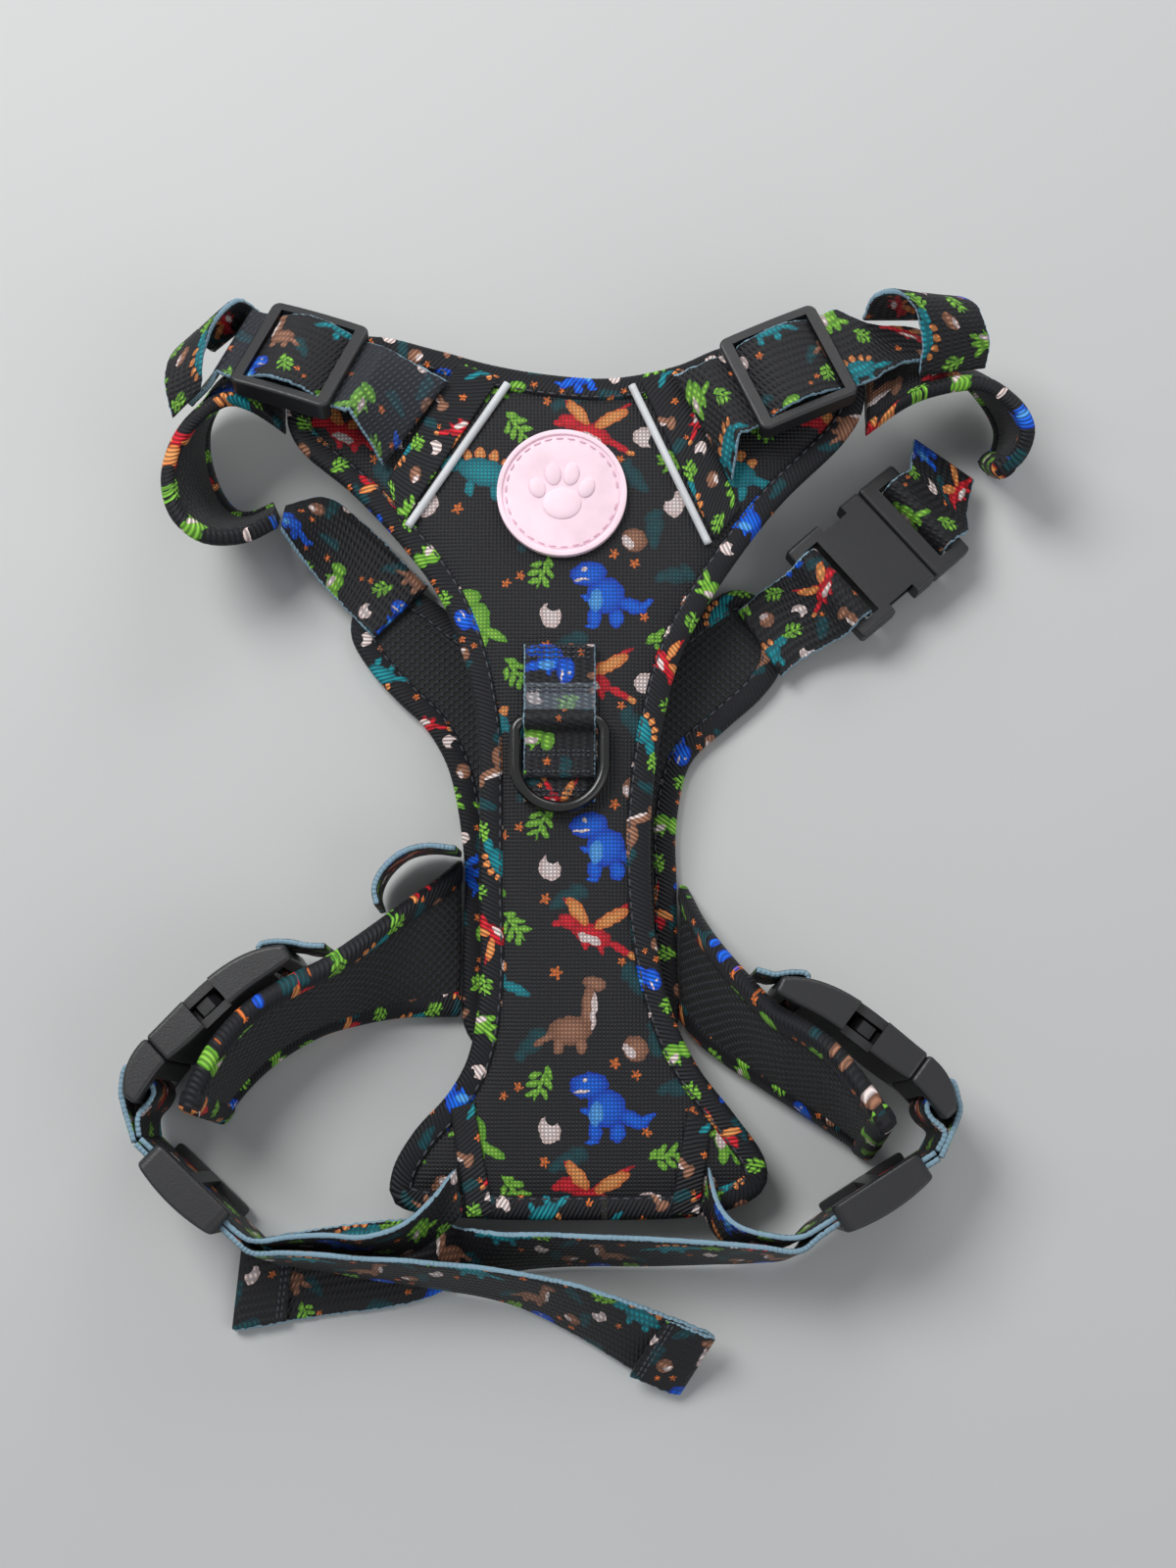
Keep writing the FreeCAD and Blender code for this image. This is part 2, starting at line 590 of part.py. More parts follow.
padded_band("left", "belly",
            [(-33.9, -50, 2.9), (-40, -50, 2.9), (-50, -50, 2.9), (-59, -51, 2.9), (-69, -53, 2.7),
             (-76, -56, 2.5), (-84, -61, 2.2), (-91, -67, 2), (-97, -74, 2), (-100, -79, 3)],
            [(-33.9, -6, 2.9), (-39, -12, 10), (-47, -20, 19), (-55, -28, 26), (-66, -37.5, 33),
             (-76, -43, 35), (-87, -50.5, 36), (-95, -60, 36), (-100, -70, 35), (-102, -77, 33.5)], 1)
padded_band("right", "belly",
            [(30.2, -52, 2.9), (35.5, -58, 2.9), (43, -63.5, 2.9), (50, -67.5, 2.9), (58, -72.5, 2.7),
             (65, -77, 2.4), (72, -81.5, 2.2), (78, -85.5, 2), (82, -88, 3)],
            [(30.2, -13, 2.9), (33.5, -22, 10), (38, -31, 18), (44.5, -40.5, 26), (52, -49.5, 32),
             (60, -54.5, 35), (67.5, -60.5, 36), (75, -70, 36), (82, -81, 34)], -1)

webbing("front_loop",
        [(-33, -4.2, 3), (-41, -3.4, 3), (-48, -5, 3), (-53.5, -10, 3), (-56, -16, 3), (-54.8, -21, 4)],
        [(-33.6, -5.2, 22), (-41.5, -5, 25), (-48, -7, 25.5), (-53, -11.5, 25.5), (-55.2, -16.5, 25.5),
         (-54.5, -21, 25)])

BELLY_BUCKLE = {
    "left": placed((-110.3, -60.8, 19), (-0.722, -0.692, 0), (-0.692, 0.722, 0)),
    "right": placed((89.8, -65.5, 19), (0.795, -0.606, 0), (0.606, 0.795, 0)),
}
BELLY_SLIDER = {
    "left": placed((-102, -96.5, 18.2), (0.737, -0.676, 0), (-0.676, -0.737, 0)),
    "right": placed((79.5, -97.5, 18.2), (-0.85, -0.53, 0), (0.53, -0.85, 0)),
}
BELLY_FEMALE = ([(0, 4.3), (-10, 4.75), (-24, 4.75), (-34, 2.6), (-42.6, -2.6)],
                [(0, -4.3), (-12, -4.75), (-28, -5), (-36, -6.2), (-41.8, -7)])
BELLY_MALE = ([(0, 4.3), (5, 3.7), (10.5, 1), (14.2, -3.2)],
              [(0, -4.3), (6, -5.2), (11, -6.4), (13.5, -6.9)])
layer = (size("webbing_thickness") + size("strap_gap")) / 2
reach = size("belly_slider_length") / 2 + size("belly_travel") + size("running_gap")
STRAP_RUN = {
    "left": ([(-83, -112.5, 4), (-76, -113, 3.2), (-66, -114, 3), (-56, -115, 3), (-47, -114.5, 6),
              (-40, -111.5, 11), (-30.8, -104, 15.1)],
             [(-83, -110, 29), (-76, -109, 28), (-66, -108.5, 27), (-56, -109, 27), (-46, -106, 27),
              (-39, -100, 24), (-32.8, -91.5, 15.8)]),
    "right": ([(58, -111.5, 5), (50, -113, 6), (42, -112, 9), (37.5, -109, 12), (34.2, -103.4, 14.7)],
              [(58, -109, 29.5), (50, -108.5, 28), (42, -106, 26), (37.5, -100.5, 21.5), (35.6, -91.5, 15.4)]),
}
TAIL_RUN = {
    "left": ([(-84.5, -115.5, 4), (-77, -117.5, 3.4), (-67, -119, 3.4), (-57, -120.8, 4), (-46, -122.3, 4.6),
              (-36, -123.8, 4.4), (-24, -126, 3), (-13, -129.5, 2), (0, -136, 1.6), (10, -142, 1.5),
              (19, -147.5, 1.5), (26, -150.5, 1.5)],
             [(-84.5, -113, 29), (-77, -113, 28), (-67, -113.5, 27), (-57, -114.5, 26), (-46, -115, 25),
              (-36, -116, 24), (-25, -117, 23), (-12.5, -119, 22), (1.5, -122, 21), (15, -126.5, 18.5),
              (27, -131, 15), (35.5, -134.5, 11.5)]),
    "right": ([(58, -115, 4), (48, -116.5, 3), (36, -117, 2.5), (20, -117.5, 2), (5, -117.5, 2),
               (-8, -118, 2), (-20, -119.5, 1.8), (-31, -123, 1.4), (-42, -127, 1.2), (-54, -129.5, 1.1),
               (-67, -131, 1.1), (-80, -133, 1.1), (-92, -135, 1.1)],
              [(58, -112.5, 29), (48, -111.5, 28.5), (36, -110.5, 28), (20, -109.5, 27), (5, -109, 25),
               (-8, -108.5, 23), (-20, -108.5, 19), (-30, -107.5, 11), (-40, -105.5, 3.4), (-51, -105.5, 1.3),
               (-65, -107, 1.1), (-78, -109, 1.1), (-90, -111, 1.1)]),
}
# Link webbing from the female's bar to its pad, as (along, height) of the buckle's own frame.
ROUND_FEMALE_BAR = [(-36.4, -4.5), (-36.2, 0), (-37.6, 2.6), (-41, 0.6), (-44.2, -2.6)]
LINK_END = {"left": [(-46.5, -6), (-50, -9.6)], "right": [(-46.5, -3.6), (-49, -4.6)]}


def strap_through_slider(place, level, before=0):
    """Straight stretch of both rails, lower rail first, at a level of the slider's own height."""
    rails = across(place, [(-reach - before, level), (0, level), (reach, level)])
    return sorted(rails, key=lambda rail: rail[0].z)


def shifted(rails, points):
    """Rails carried on through hand-placed points: lower ones, then upper ones."""
    return [rail + [Vector(*point) for point in run] for rail, run in zip(rails, points)]


for side in ("left", "right"):
    place = BELLY_BUCKLE[side]
    names = ("lower", "upper") if side == "left" else ("upper", "lower")
    buckle("belly_buckle_" + side, "belly", place, BELLY_FEMALE, BELLY_MALE, names)
    slide = BELLY_SLIDER[side]
    slider("belly_slider_" + side, "belly", slide, 2, 1.6)
    webbing("belly_strap_" + side, *shifted(strap_through_slider(slide, -layer), STRAP_RUN[side]))
    webbing("belly_tail_" + side, *shifted(strap_through_slider(slide, layer), TAIL_RUN[side]))
    # The strap leaves the slider, goes through the male's slot and round its bar, and comes back.
    run = [(15.5, -9), (10.6, -8.2), (7.9, -6.4), (7.7, -2), (9.2, 2.9), (13.3, 0.2), (15.9, -3.2)]
    inner_layer = strap_through_slider(slide, -layer, size("seat_gap"))
    outer_layer = strap_through_slider(slide, layer, size("seat_gap"))
    round_bar = sorted(across(place, run), key=lambda rail: rail[0].z)
    webbing("belly_loop_" + side,
            *[[a[0]] + b + [c[0]] for a, b, c in zip(inner_layer, round_bar, outer_layer)])
    link = across(place, ROUND_FEMALE_BAR + LINK_END[side])
    webbing("belly_link_" + side, *sorted(link, key=lambda rail: rail[0].z))


# ---- check and write -----------------------------------------------------------------------

doc.recompute()
for item in doc.Objects:
    if "Invalid" in item.State or "Error" in item.State:
        raise RuntimeError("%s did not build: %s" % (item.Name, item.State))
for piece in pieces:
    if piece.Shape.isNull() or not piece.Shape.isValid() or piece.Shape.Volume <= 0:
        raise RuntimeError("%s has no sound shape" % piece.Label)

# The origin is put under the middle of the whole harness.
whole = FreeCAD.BoundBox()
for piece in pieces:
    whole.add(piece.Shape.BoundBox)
to_origin = FreeCAD.Placement(Vector(-whole.Center.x, -whole.Center.y, -whole.ZMin), FreeCAD.Rotation())
for piece in pieces:
    piece.Placement = to_origin.multiply(piece.Placement)
doc.recompute()

os.makedirs("parts", exist_ok=True)
for piece in pieces:
    piece.Shape.exportStep("parts/%s.step" % piece.Label)
print("pieces", len(pieces), "size", whole.XLength, whole.YLength, whole.ZLength)
print("origin moved by", to_origin.Base)
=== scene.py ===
import math

import bmesh
import bpy
import numpy as np
from mathutils import Matrix, Vector


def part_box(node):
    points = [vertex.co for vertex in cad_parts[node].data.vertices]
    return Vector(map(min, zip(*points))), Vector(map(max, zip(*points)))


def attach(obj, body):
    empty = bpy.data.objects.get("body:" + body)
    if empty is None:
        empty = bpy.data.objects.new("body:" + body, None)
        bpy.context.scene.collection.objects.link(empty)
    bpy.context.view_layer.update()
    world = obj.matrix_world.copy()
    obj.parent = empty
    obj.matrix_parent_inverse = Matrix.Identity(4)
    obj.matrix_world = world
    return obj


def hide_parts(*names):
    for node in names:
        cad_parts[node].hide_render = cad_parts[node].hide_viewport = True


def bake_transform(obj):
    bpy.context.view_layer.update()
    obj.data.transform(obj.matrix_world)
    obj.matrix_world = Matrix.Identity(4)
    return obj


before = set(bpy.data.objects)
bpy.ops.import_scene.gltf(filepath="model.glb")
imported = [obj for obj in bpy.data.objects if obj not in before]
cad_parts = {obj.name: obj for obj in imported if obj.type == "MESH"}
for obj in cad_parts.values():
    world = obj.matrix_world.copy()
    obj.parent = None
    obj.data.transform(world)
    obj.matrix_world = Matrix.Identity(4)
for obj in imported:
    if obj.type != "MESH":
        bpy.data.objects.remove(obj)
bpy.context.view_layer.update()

# Lengths are the drawing's millimetres; toFrame turns a point into the frame's metres.
panel = {"height": 19.7, "slope": 3.4, "thickness": 5.4, "chestThickness": 5.0, "tape": 6.5, "skin": 0.2,
         "clothSink": 1.3, "meshSink": 0.7, "waves": 0.5, "chestWaves": 0.4, "hem": 2.2}
webbing = {"width": 25.0, "thickness": 1.6, "gap": 0.2, "edgeWobble": 0.22}
padding = {"thickness": 4.5, "edgeShare": 0.16, "lining": 1.2, "tapeBulge": 1.22, "neckTapeBulge": 1.0,
           "endBulge": 1.3}
badge = {"x": -4.4, "y": 96.0, "radius": 18.4, "height": 2.4, "rim": 1.4, "recess": 0.7, "field": 0.32,
         "seat": 0.35, "dashRing": 0.86}

panelTilt = (Matrix.Translation((0, 0, panel["height"]))
             @ Matrix.Rotation(math.radians(panel["slope"]), 4, "X"))
badgeLow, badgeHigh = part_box("badge")
badgeDrawn = panelTilt @ Vector((badge["x"], badge["y"], badge["height"] / 2))
originShift = (Vector(badgeLow) + Vector(badgeHigh)) / 2 * 1000 - badgeDrawn
originShift.z = 0


def toFrame(point):
    return (Vector(point) + originShift) / 1000


def onPanel(x, y, z):
    return panelTilt @ Vector((x, y, z))


def tone(red, green, blue):  # an everyday 0-255 colour as a shader value
    return tuple((c / 255) ** 2.2 for c in (red, green, blue)) + (1,)


def smoothRun(points, steps, closed=False):  # a curve through all the points
    points = [Vector(p) for p in points]
    count = len(points)
    run = []
    for k in range(count if closed else count - 1):
        here, there = points[k], points[(k + 1) % count]
        before = points[k - 1] if closed or k else here * 2 - there
        after = points[(k + 2) % count] if closed or k + 2 < count else there * 2 - here
        for step in range(steps):
            t = step / steps
            run.append((here * 2 + (there - before) * t
                        + (before * 2 - here * 5 + there * 4 - after) * t ** 2
                        + (here * 3 - before - there * 3 + after) * t ** 3) / 2)
    if not closed:
        run.append(points[-1])
    return run


def distancesAlong(spots):
    along = [0.0]
    for a, b in zip(spots, spots[1:]):
        along.append(along[-1] + (b - a).length)
    return along


def evenly(lowRun, highRun, pitch):  # both rails again, with stations a pitch apart along their middle
    along = distancesAlong([(a + b) / 2 for a, b in zip(lowRun, highRun)])
    count = max(4, round(along[-1] / pitch))
    wanted = np.linspace(0, along[-1], count + 1)
    rails = []
    for run in (lowRun, highRun):
        levels = [np.interp(wanted, along, [v[i] for v in run]) for i in range(3)]
        rails.append([Vector(p) for p in zip(*levels)])
    return rails[0], rails[1], wanted


# A section lists points as (share of the way from the low rail to the high one, height above the middle).
def flatSection(cuts=8, rounding=0.032, half=webbing["thickness"] / 2):
    top = [(rounding + (1 - 2 * rounding) * k / cuts, half) for k in range(cuts + 1)]
    bend = [math.radians(a) for a in (40, 90, 140)]
    far = [(1 - rounding + rounding * math.sin(a), half * math.cos(a)) for a in bend]
    bottom = [(s, -half) for s, _ in reversed(top)]
    near = [(rounding - rounding * math.sin(a), -half * math.cos(a)) for a in bend]
    return top + far + bottom + near


def roundSection(left, right, half, corners=18, power=3.0):
    middle, reach = (left + right) / 2, (right - left) / 2
    section = []
    for k in range(corners):
        a = -2 * math.pi * k / corners + math.pi / 2
        c, s = math.cos(a), math.sin(a)
        section.append((middle + reach * math.copysign(abs(c) ** (2 / power), c),
                        half * math.copysign(abs(s) ** (2 / power), s)))
    return section


def makeMesh(name, points, faces, uvs, shares=None):
    mesh = bpy.data.meshes.new(name)
    mesh.from_pydata([toFrame(p) for p in points], [], faces)
    for layerName, values in (("cloth", uvs), ("share", shares)):
        if values:
            layer = mesh.uv_layers.new(name=layerName)
            for loop in mesh.loops:
                layer.data[loop.index].uv = values[loop.vertex_index]
    shaped = bmesh.new()
    shaped.from_mesh(mesh)
    bmesh.ops.recalc_face_normals(shaped, faces=shaped.faces)
    shaped.to_mesh(mesh)
    shaped.free()
    mesh.polygons.foreach_set("use_smooth", [True] * len(mesh.polygons))
    piece = bpy.data.objects.new(name, mesh)
    bpy.context.scene.collection.objects.link(piece)
    return piece


def makeStrip(name, lowRail, highRail, section, pitch=1.6, steps=8, closed=False, wobble=0.0, uvStart=(0, 0)):
    lowRun, highRun = smoothRun(lowRail, steps, closed), smoothRun(highRail, steps, closed)
    if closed:
        lowRun.append(lowRun[0])
        highRun.append(highRun[0])
    lowRun, highRun, along = evenly(lowRun, highRun, pitch)
    if closed:
        lowRun, highRun = lowRun[:-1], highRun[:-1]
    count = len(lowRun)
    middle = [(a + b) / 2 for a, b in zip(lowRun, highRun)]
    jag = np.random.default_rng(len(name) * 7 + count)
    points, uvs, shares = [], [], []
    for i in range(count):
        ahead = middle[(i + 1) % count] if closed or i + 1 < count else middle[i]
        behind = middle[i - 1] if closed or i else middle[i]
        across = highRun[i] - lowRun[i]
        face = (ahead - behind).cross(across).normalized()
        width = across.length
        nearJag, farJag = (jag.random(2) - 0.5) * 2 * wobble / width
        for s, h in section:
            edge = nearJag if s < 0.03 else farJag if s > 0.97 else 0
            points.append(lowRun[i] + across * (s + edge) + face * h)
            uvs.append(((along[i] + uvStart[0]) / 1000, (s * width + uvStart[1]) / 1000))
            shares.append((along[i] / along[-1], s))
    size = len(section)
    faces = []
    for i in range(count if closed else count - 1):
        j = (i + 1) % count
        for k in range(size):
            m = (k + 1) % size
            faces.append((i * size + k, i * size + m, j * size + m, j * size + k))
    if not closed:
        faces.append(tuple(range(size)))
        faces.append(tuple((count - 1) * size + k for k in reversed(range(size))))
    piece = makeMesh(name, points, faces, uvs, shares)
    piece["runLength"] = float(along[-1])
    piece["runWidth"] = sum((b - a).length for a, b in zip(lowRun, highRun)) / count
    return piece


def newGroup(name, **outputs):  # takes the cloth's own metres
    group = bpy.data.node_groups.new(name, "ShaderNodeTree")
    group.interface.new_socket(name="Vector", in_out="INPUT", socket_type="NodeSocketVector")
    for label, kind in outputs.items():
        group.interface.new_socket(name=label, in_out="OUTPUT", socket_type="NodeSocket" + kind)
    return group, group.nodes.new("NodeGroupInput"), group.nodes.new("NodeGroupOutput")


def node(tree, kind, settings=None, **inputs):
    made = tree.nodes.new("ShaderNode" + kind)
    for label, value in (settings or {}).items():
        setattr(made, label, value)
    for label, value in inputs.items():
        plug(tree, made, label, value)
    return made


def plug(tree, made, label, value):
    key = int(label[1:]) if label[0] == "i" and label[1:].isdigit() else label
    if isinstance(value, bpy.types.NodeSocket):
        tree.links.new(value, made.inputs[key])
    else:
        made.inputs[key].default_value = value


def maths(tree, operation, *values, kind="Math"):
    made = node(tree, kind, {"operation": operation})
    for k, value in enumerate(values):
        plug(tree, made, "i%d" % k, value)
    return made.outputs["Value" if kind == "Math" or operation in ("DOT_PRODUCT", "LENGTH") else "Vector"]


def vectorMaths(tree, operation, *values):
    return maths(tree, operation, *values, kind="VectorMath")


def noise(tree, vector, scale, detail, flat=False):
    settings = {"noise_dimensions": "2D"} if flat else None
    return node(tree, "TexNoise", settings, Vector=vector, Scale=scale, Detail=detail).outputs


def inMillimetres(tree, vector):
    return node(tree, "VectorMath", {"operation": "SCALE"}, i0=vector, Scale=1000).outputs[0]


def mixColour(tree, share, low, high, blend="MIX"):
    made = node(tree, "Mix", {"data_type": "RGBA", "blend_type": blend})
    for k, value in ((0, share), (6, low), (7, high)):
        plug(tree, made, "i%d" % k, value)
    return made.outputs[2]


cloth = {  # each colour at the middle of a figure and at its rim
    "ground": (tone(15, 16, 23), tone(13, 14, 20)), "darkTeal": (tone(12, 72, 78), tone(8, 44, 50)),
    "blue": (tone(22, 112, 240), tone(4, 62, 186)), "teal": (tone(30, 150, 160), tone(10, 104, 116)),
    "green": (tone(146, 208, 76), tone(88, 158, 40)), "red": (tone(232, 38, 52), tone(168, 12, 34)),
    "orange": (tone(246, 166, 96), tone(222, 116, 56)), "brown": (tone(172, 122, 96), tone(126, 84, 64)),
    "cream": (tone(248, 232, 226), tone(226, 200, 192)), "sky": (tone(96, 176, 246), tone(60, 140, 230)),
}

# What each printed figure is drawn from: a colour and its ovals, by middle, half sizes and turn.
figures = {
    "bigJaw": [
        ("blue", [(0, 0, 4.7, 4.6, -14), (-4.2, 5.4, 4.6, 3.1, 6), (-2.8, -5.4, 1.7, 2.6, 4),
                  (2.6, -5.6, 1.9, 2.5, -4), (6.2, -2.6, 3.9, 1.8, -22), (9.6, -2.4, 2.4, 0.9, 34),
                  (-4.8, -0.6, 1.7, 0.7, -24), (-3.4, -7.7, 1.7, 0.6, 0)]),
        ("sky", [(-2.4, -1.2, 1.7, 2.9, -6)]),
        ("cream", [(-6.0, 4.0, 2.0, 0.35, 6), (-5.2, 6.6, 0.6, 0.6, 0)])],
    "flyer": [
        ("red", [(0, 0, 5.2, 2.5, -24), (-5.6, 3.3, 2.7, 1.8, -14), (6.6, -3.2, 3.7, 0.9, -30),
                 (-8.2, 2.7, 1.3, 0.9, 0), (-3.8, 5.0, 4.9, 0.6, -52), (5.2, 5.2, 5.6, 0.6, 28),
                 (2.2, -3.2, 0.8, 1.7, 10), (-1.6, -2.2, 0.8, 1.5, 10)]),
        ("orange", [(-3.4, 5.6, 4.1, 1.6, -52), (4.8, 3.9, 4.7, 1.6, 28), (9.8, -5.0, 1.1, 0.8, -30)]),
        ("cream", [(-0.6, -1.0, 3.0, 1.1, -24)])],
    "longNeck": [
        ("brown", [(-0.6, -3.2, 5.2, 3.5, 4), (3.6, 2.6, 1.6, 5.6, -6), (5.2, 7.9, 2.8, 1.7, -12),
                   (-3.4, -6.8, 1.2, 2.1, 0), (2.0, -6.8, 1.3, 2.1, 0), (-6.6, -5.2, 3.2, 0.9, 30)]),
        ("cream", [(5.0, 1.4, 0.7, 4.6, -4)])],
    "plated": [
        ("orange", [(-4.6, 4.0, 1.1, 1.5, 14), (-1.6, 4.7, 1.3, 1.7, 0), (1.9, 4.3, 1.3, 1.6, -12),
                    (4.9, 2.9, 1.1, 1.3, -24)]),
        ("teal", [(0, 0, 6.5, 3.5, -8), (-8.0, 1.4, 3.1, 1.9, 14), (8.2, -1.8, 4.2, 1.2, -18),
                  (-3.2, -4.2, 1.2, 2.2, 0), (3.2, -4.6, 1.3, 2.2, 0)])],
    "hopper": [
        ("green", [(0, 0, 3.6, 4.6, -12), (-1.8, 5.4, 3.5, 2.3, 10), (4.2, -3.8, 3.9, 1.2, -34),
                   (-1.9, -4.7, 1.2, 2.0, 0), (1.6, -5.0, 1.3, 2.0, 0), (-3.9, 0.6, 1.6, 0.6, 24)]),
        ("cream", [(-1.8, -0.4, 1.3, 2.8, -8)])],
    "frond": [
        ("green", [(0, 0, 4.6, 0.5, 58), (-2.0, 0.2, 1.9, 0.8, 8), (-1.1, 2.0, 1.7, 0.7, 8),
                   (0.2, -2.4, 1.8, 0.7, 104), (1.6, -0.2, 1.8, 0.8, 104), (2.2, 2.1, 1.5, 0.7, 104),
                   (-2.4, -1.9, 1.6, 0.7, 8)])],
    "shell": [("cream", [(0, 0, 2.6, 3.3, 14)])],
    "nest": [("brown", [(0, 0, 3.2, 3.0, 20)]), ("cream", [(0.4, 1.7, 1.9, 1.1, 10)])],
    "bush": [("darkTeal", [(0, 0, 3.8, 2.2, 20), (2.6, 1.6, 2.6, 1.6, -30), (-2.8, -1.4, 2.2, 1.4, 40)])],
}
# One repeat of the print: figures by name, middle and turn, bites out of the shells, and stars by reach.
repeat = {"tile": (61.0, 62.0), "ripple": 0.55, "starPoints": 5.0, "starBody": 0.68, "starSpread": 0.27}
scattered = [
    ("bush", 18, 40, 0), ("bush", 39, 7, 60), ("bush", 9, 5, 20), ("bush", 44, 57, -20),
    ("bush", 34, 20, 100),
    ("bigJaw", 27, 52, 0), ("flyer", 23.5, 31, 0), ("longNeck", 19, 11.5, 0), ("plated", 58, 21, -6),
    ("hopper", 56, 46, 4),
    ("frond", 11.5, 58, 10), ("frond", 44, 24, -50), ("frond", 5, 33, 70), ("frond", 41, 41, 130),
    ("shell", 13.5, 47, 0), ("shell", 37, 30, 60), ("nest", 50, 33.5, 0), ("nest", 34, 4, 120),
    ("shell", 44, 13, -30),
]
bites = [(14.4, 49.8, 2.0, 1.6, 20), (39.2, 29.0, 1.7, 2.0, 0), (42.2, 15.2, 2.0, 1.4, 30)]
stars = [(15, 22, 1.7, 10), (34, 60, 1.4, 40), (47, 51, 1.7, 0), (6, 57, 1.3, 24), (30.6, 24.6, 1.2, 62),
         (12.4, 39.6, 1.4, 15), (29, 0.5, 1.5, 33), (51.5, 12, 1.6, 50), (2.6, 55, 1.2, 8),
         (36.4, 46.6, 1.3, 20)]


def buildPrint():
    tree, start, end = newGroup("scatteredPrint", Color="Color")
    scaled = inMillimetres(tree, start.outputs[0])
    width, height = repeat["tile"]
    ripple = noise(tree, scaled, repeat["ripple"], 1.0, flat=True)["Color"]
    centred = vectorMaths(tree, "SUBTRACT", ripple, (0.5, 0.5, 0.5))
    small = vectorMaths(tree, "MULTIPLY", centred, (1.0, 1.0, 0))
    moved = vectorMaths(tree, "ADD", scaled, small)
    tiled = vectorMaths(tree, "WRAP", moved, (width, height, 1.0), (0.0, 0.0, -1.0))

    def around(x, y):  # the repeat that is centred on a figure, so that none is cut at the repeat's edge
        away = vectorMaths(tree, "SUBTRACT", moved, (x, y, 0))
        return vectorMaths(tree, "WRAP", away, (width / 2, height / 2, 1.0), (-width / 2, -height / 2, -1.0))

    def oval(near, x, y, wide, tall, turn):  # squared distance from its middle, 1 at its edge
        c, s = math.cos(math.radians(turn)), math.sin(math.radians(turn))
        away = vectorMaths(tree, "SUBTRACT", near, (x, y, 0))
        lengthwise = vectorMaths(tree, "DOT_PRODUCT", away, (c / wide, s / wide, 0))
        crosswise = vectorMaths(tree, "DOT_PRODUCT", away, (-s / tall, c / tall, 0))
        squared = maths(tree, "MULTIPLY", lengthwise, lengthwise)
        return maths(tree, "MULTIPLY_ADD", crosswise, crosswise, squared)

    def nearest(near, ovals):
        distance = oval(near, *ovals[0])
        for more in ovals[1:]:
            distance = maths(tree, "MINIMUM", distance, oval(near, *more))
        return distance

    bitten = maths(tree, "GREATER_THAN", nearest(tiled, bites), 1.0)
    colour = cloth["ground"][0]
    for figure, x, y, turn in scattered:
        near = around(x, y)
        c, s = math.cos(math.radians(turn)), math.sin(math.radians(turn))
        for name, ovals in figures[figure]:
            distance = nearest(near, [(a * c - b * s, a * s + b * c, wide, tall, lean + turn)
                                      for a, b, wide, tall, lean in ovals])
            inside = maths(tree, "LESS_THAN", distance, 1.0)
            if figure == "shell":
                inside = maths(tree, "MULTIPLY", inside, bitten)
            colour = mixColour(tree, inside, colour, mixColour(tree, distance, *cloth[name]))
    starMask = 0.0
    for x, y, reach, turn in stars:
        near = around(x, y)
        parts = node(tree, "SeparateXYZ", Vector=near)
        angle = maths(tree, "ARCTAN2", parts.outputs[1], parts.outputs[0])
        rays = maths(tree, "MULTIPLY_ADD", angle, repeat["starPoints"], math.radians(turn))
        limit = maths(tree, "MULTIPLY_ADD", maths(tree, "COSINE", rays), repeat["starSpread"] * reach,
                      repeat["starBody"] * reach)
        length = maths(tree, "SQRT", oval(near, 0, 0, 1, 1, 0))
        starMask = maths(tree, "MAXIMUM", maths(tree, "LESS_THAN", length, limit), starMask)
    tree.links.new(mixColour(tree, starMask, colour, cloth["orange"][1]), end.inputs[0])
    return tree


# Threads by their pitch along and across the cloth and their slant; the mesh by its holes.
weaves = {"oxford": ("oxfordWeave", 1.05, 1.05, 0.0), "ribbed": ("ribbedTape", 1.25, 0, 0.55),
          "webbing": ("webbingRibs", 1.3, 2.2, 0.3)}
# The last two entries of threads are painted light: a painted shade that darkens the cloth where the threads
# dip, and a painted highlight that brightens it where they cross.
threads = {"drift": 180.0, "wobble": 1.6, "paintedShadeHollow": (0.42, 0.42, 0.44, 1), "paintedHighlightCrest": (1.25, 1.25, 1.25, 1)}
holes = {"pitch": (1.45, 1.25), "reach": (0.98, 0.72), "inner": 0.75, "outer": 1.2}


def buildWave(name, pitchAlong, pitchAcross, slant):  # a product of two waves, highest where threads cross
    tree, start, end = newGroup(name, Height="Float", Shade="Color")
    parts = node(tree, "SeparateXYZ", Vector=start.outputs[0])
    drift = noise(tree, start.outputs[0], threads["drift"], 2.0, flat=True)["Fac"]
    slanted = maths(tree, "MULTIPLY_ADD", parts.outputs[1], slant, parts.outputs[0])
    waves = []
    for value, pitch in ((slanted, pitchAlong), (parts.outputs[1], pitchAcross)):
        if pitch:
            turned = maths(tree, "MULTIPLY", value, math.pi * 2000 / pitch)
            wobbly = maths(tree, "MULTIPLY_ADD", drift, threads["wobble"], turned)
            waves.append(maths(tree, "MULTIPLY_ADD", maths(tree, "SINE", wobbly), 0.5, 0.5))
    height = waves[0] if len(waves) == 1 else maths(tree, "MULTIPLY", waves[0], waves[1])
    tree.links.new(height, end.inputs[0])
    # The colour output is painted light: painted shade in the thread hollows and painted highlight on the
    # thread crests.
    tree.links.new(mixColour(tree, height, threads["paintedShadeHollow"], threads["paintedHighlightCrest"]), end.inputs[1])
    return tree


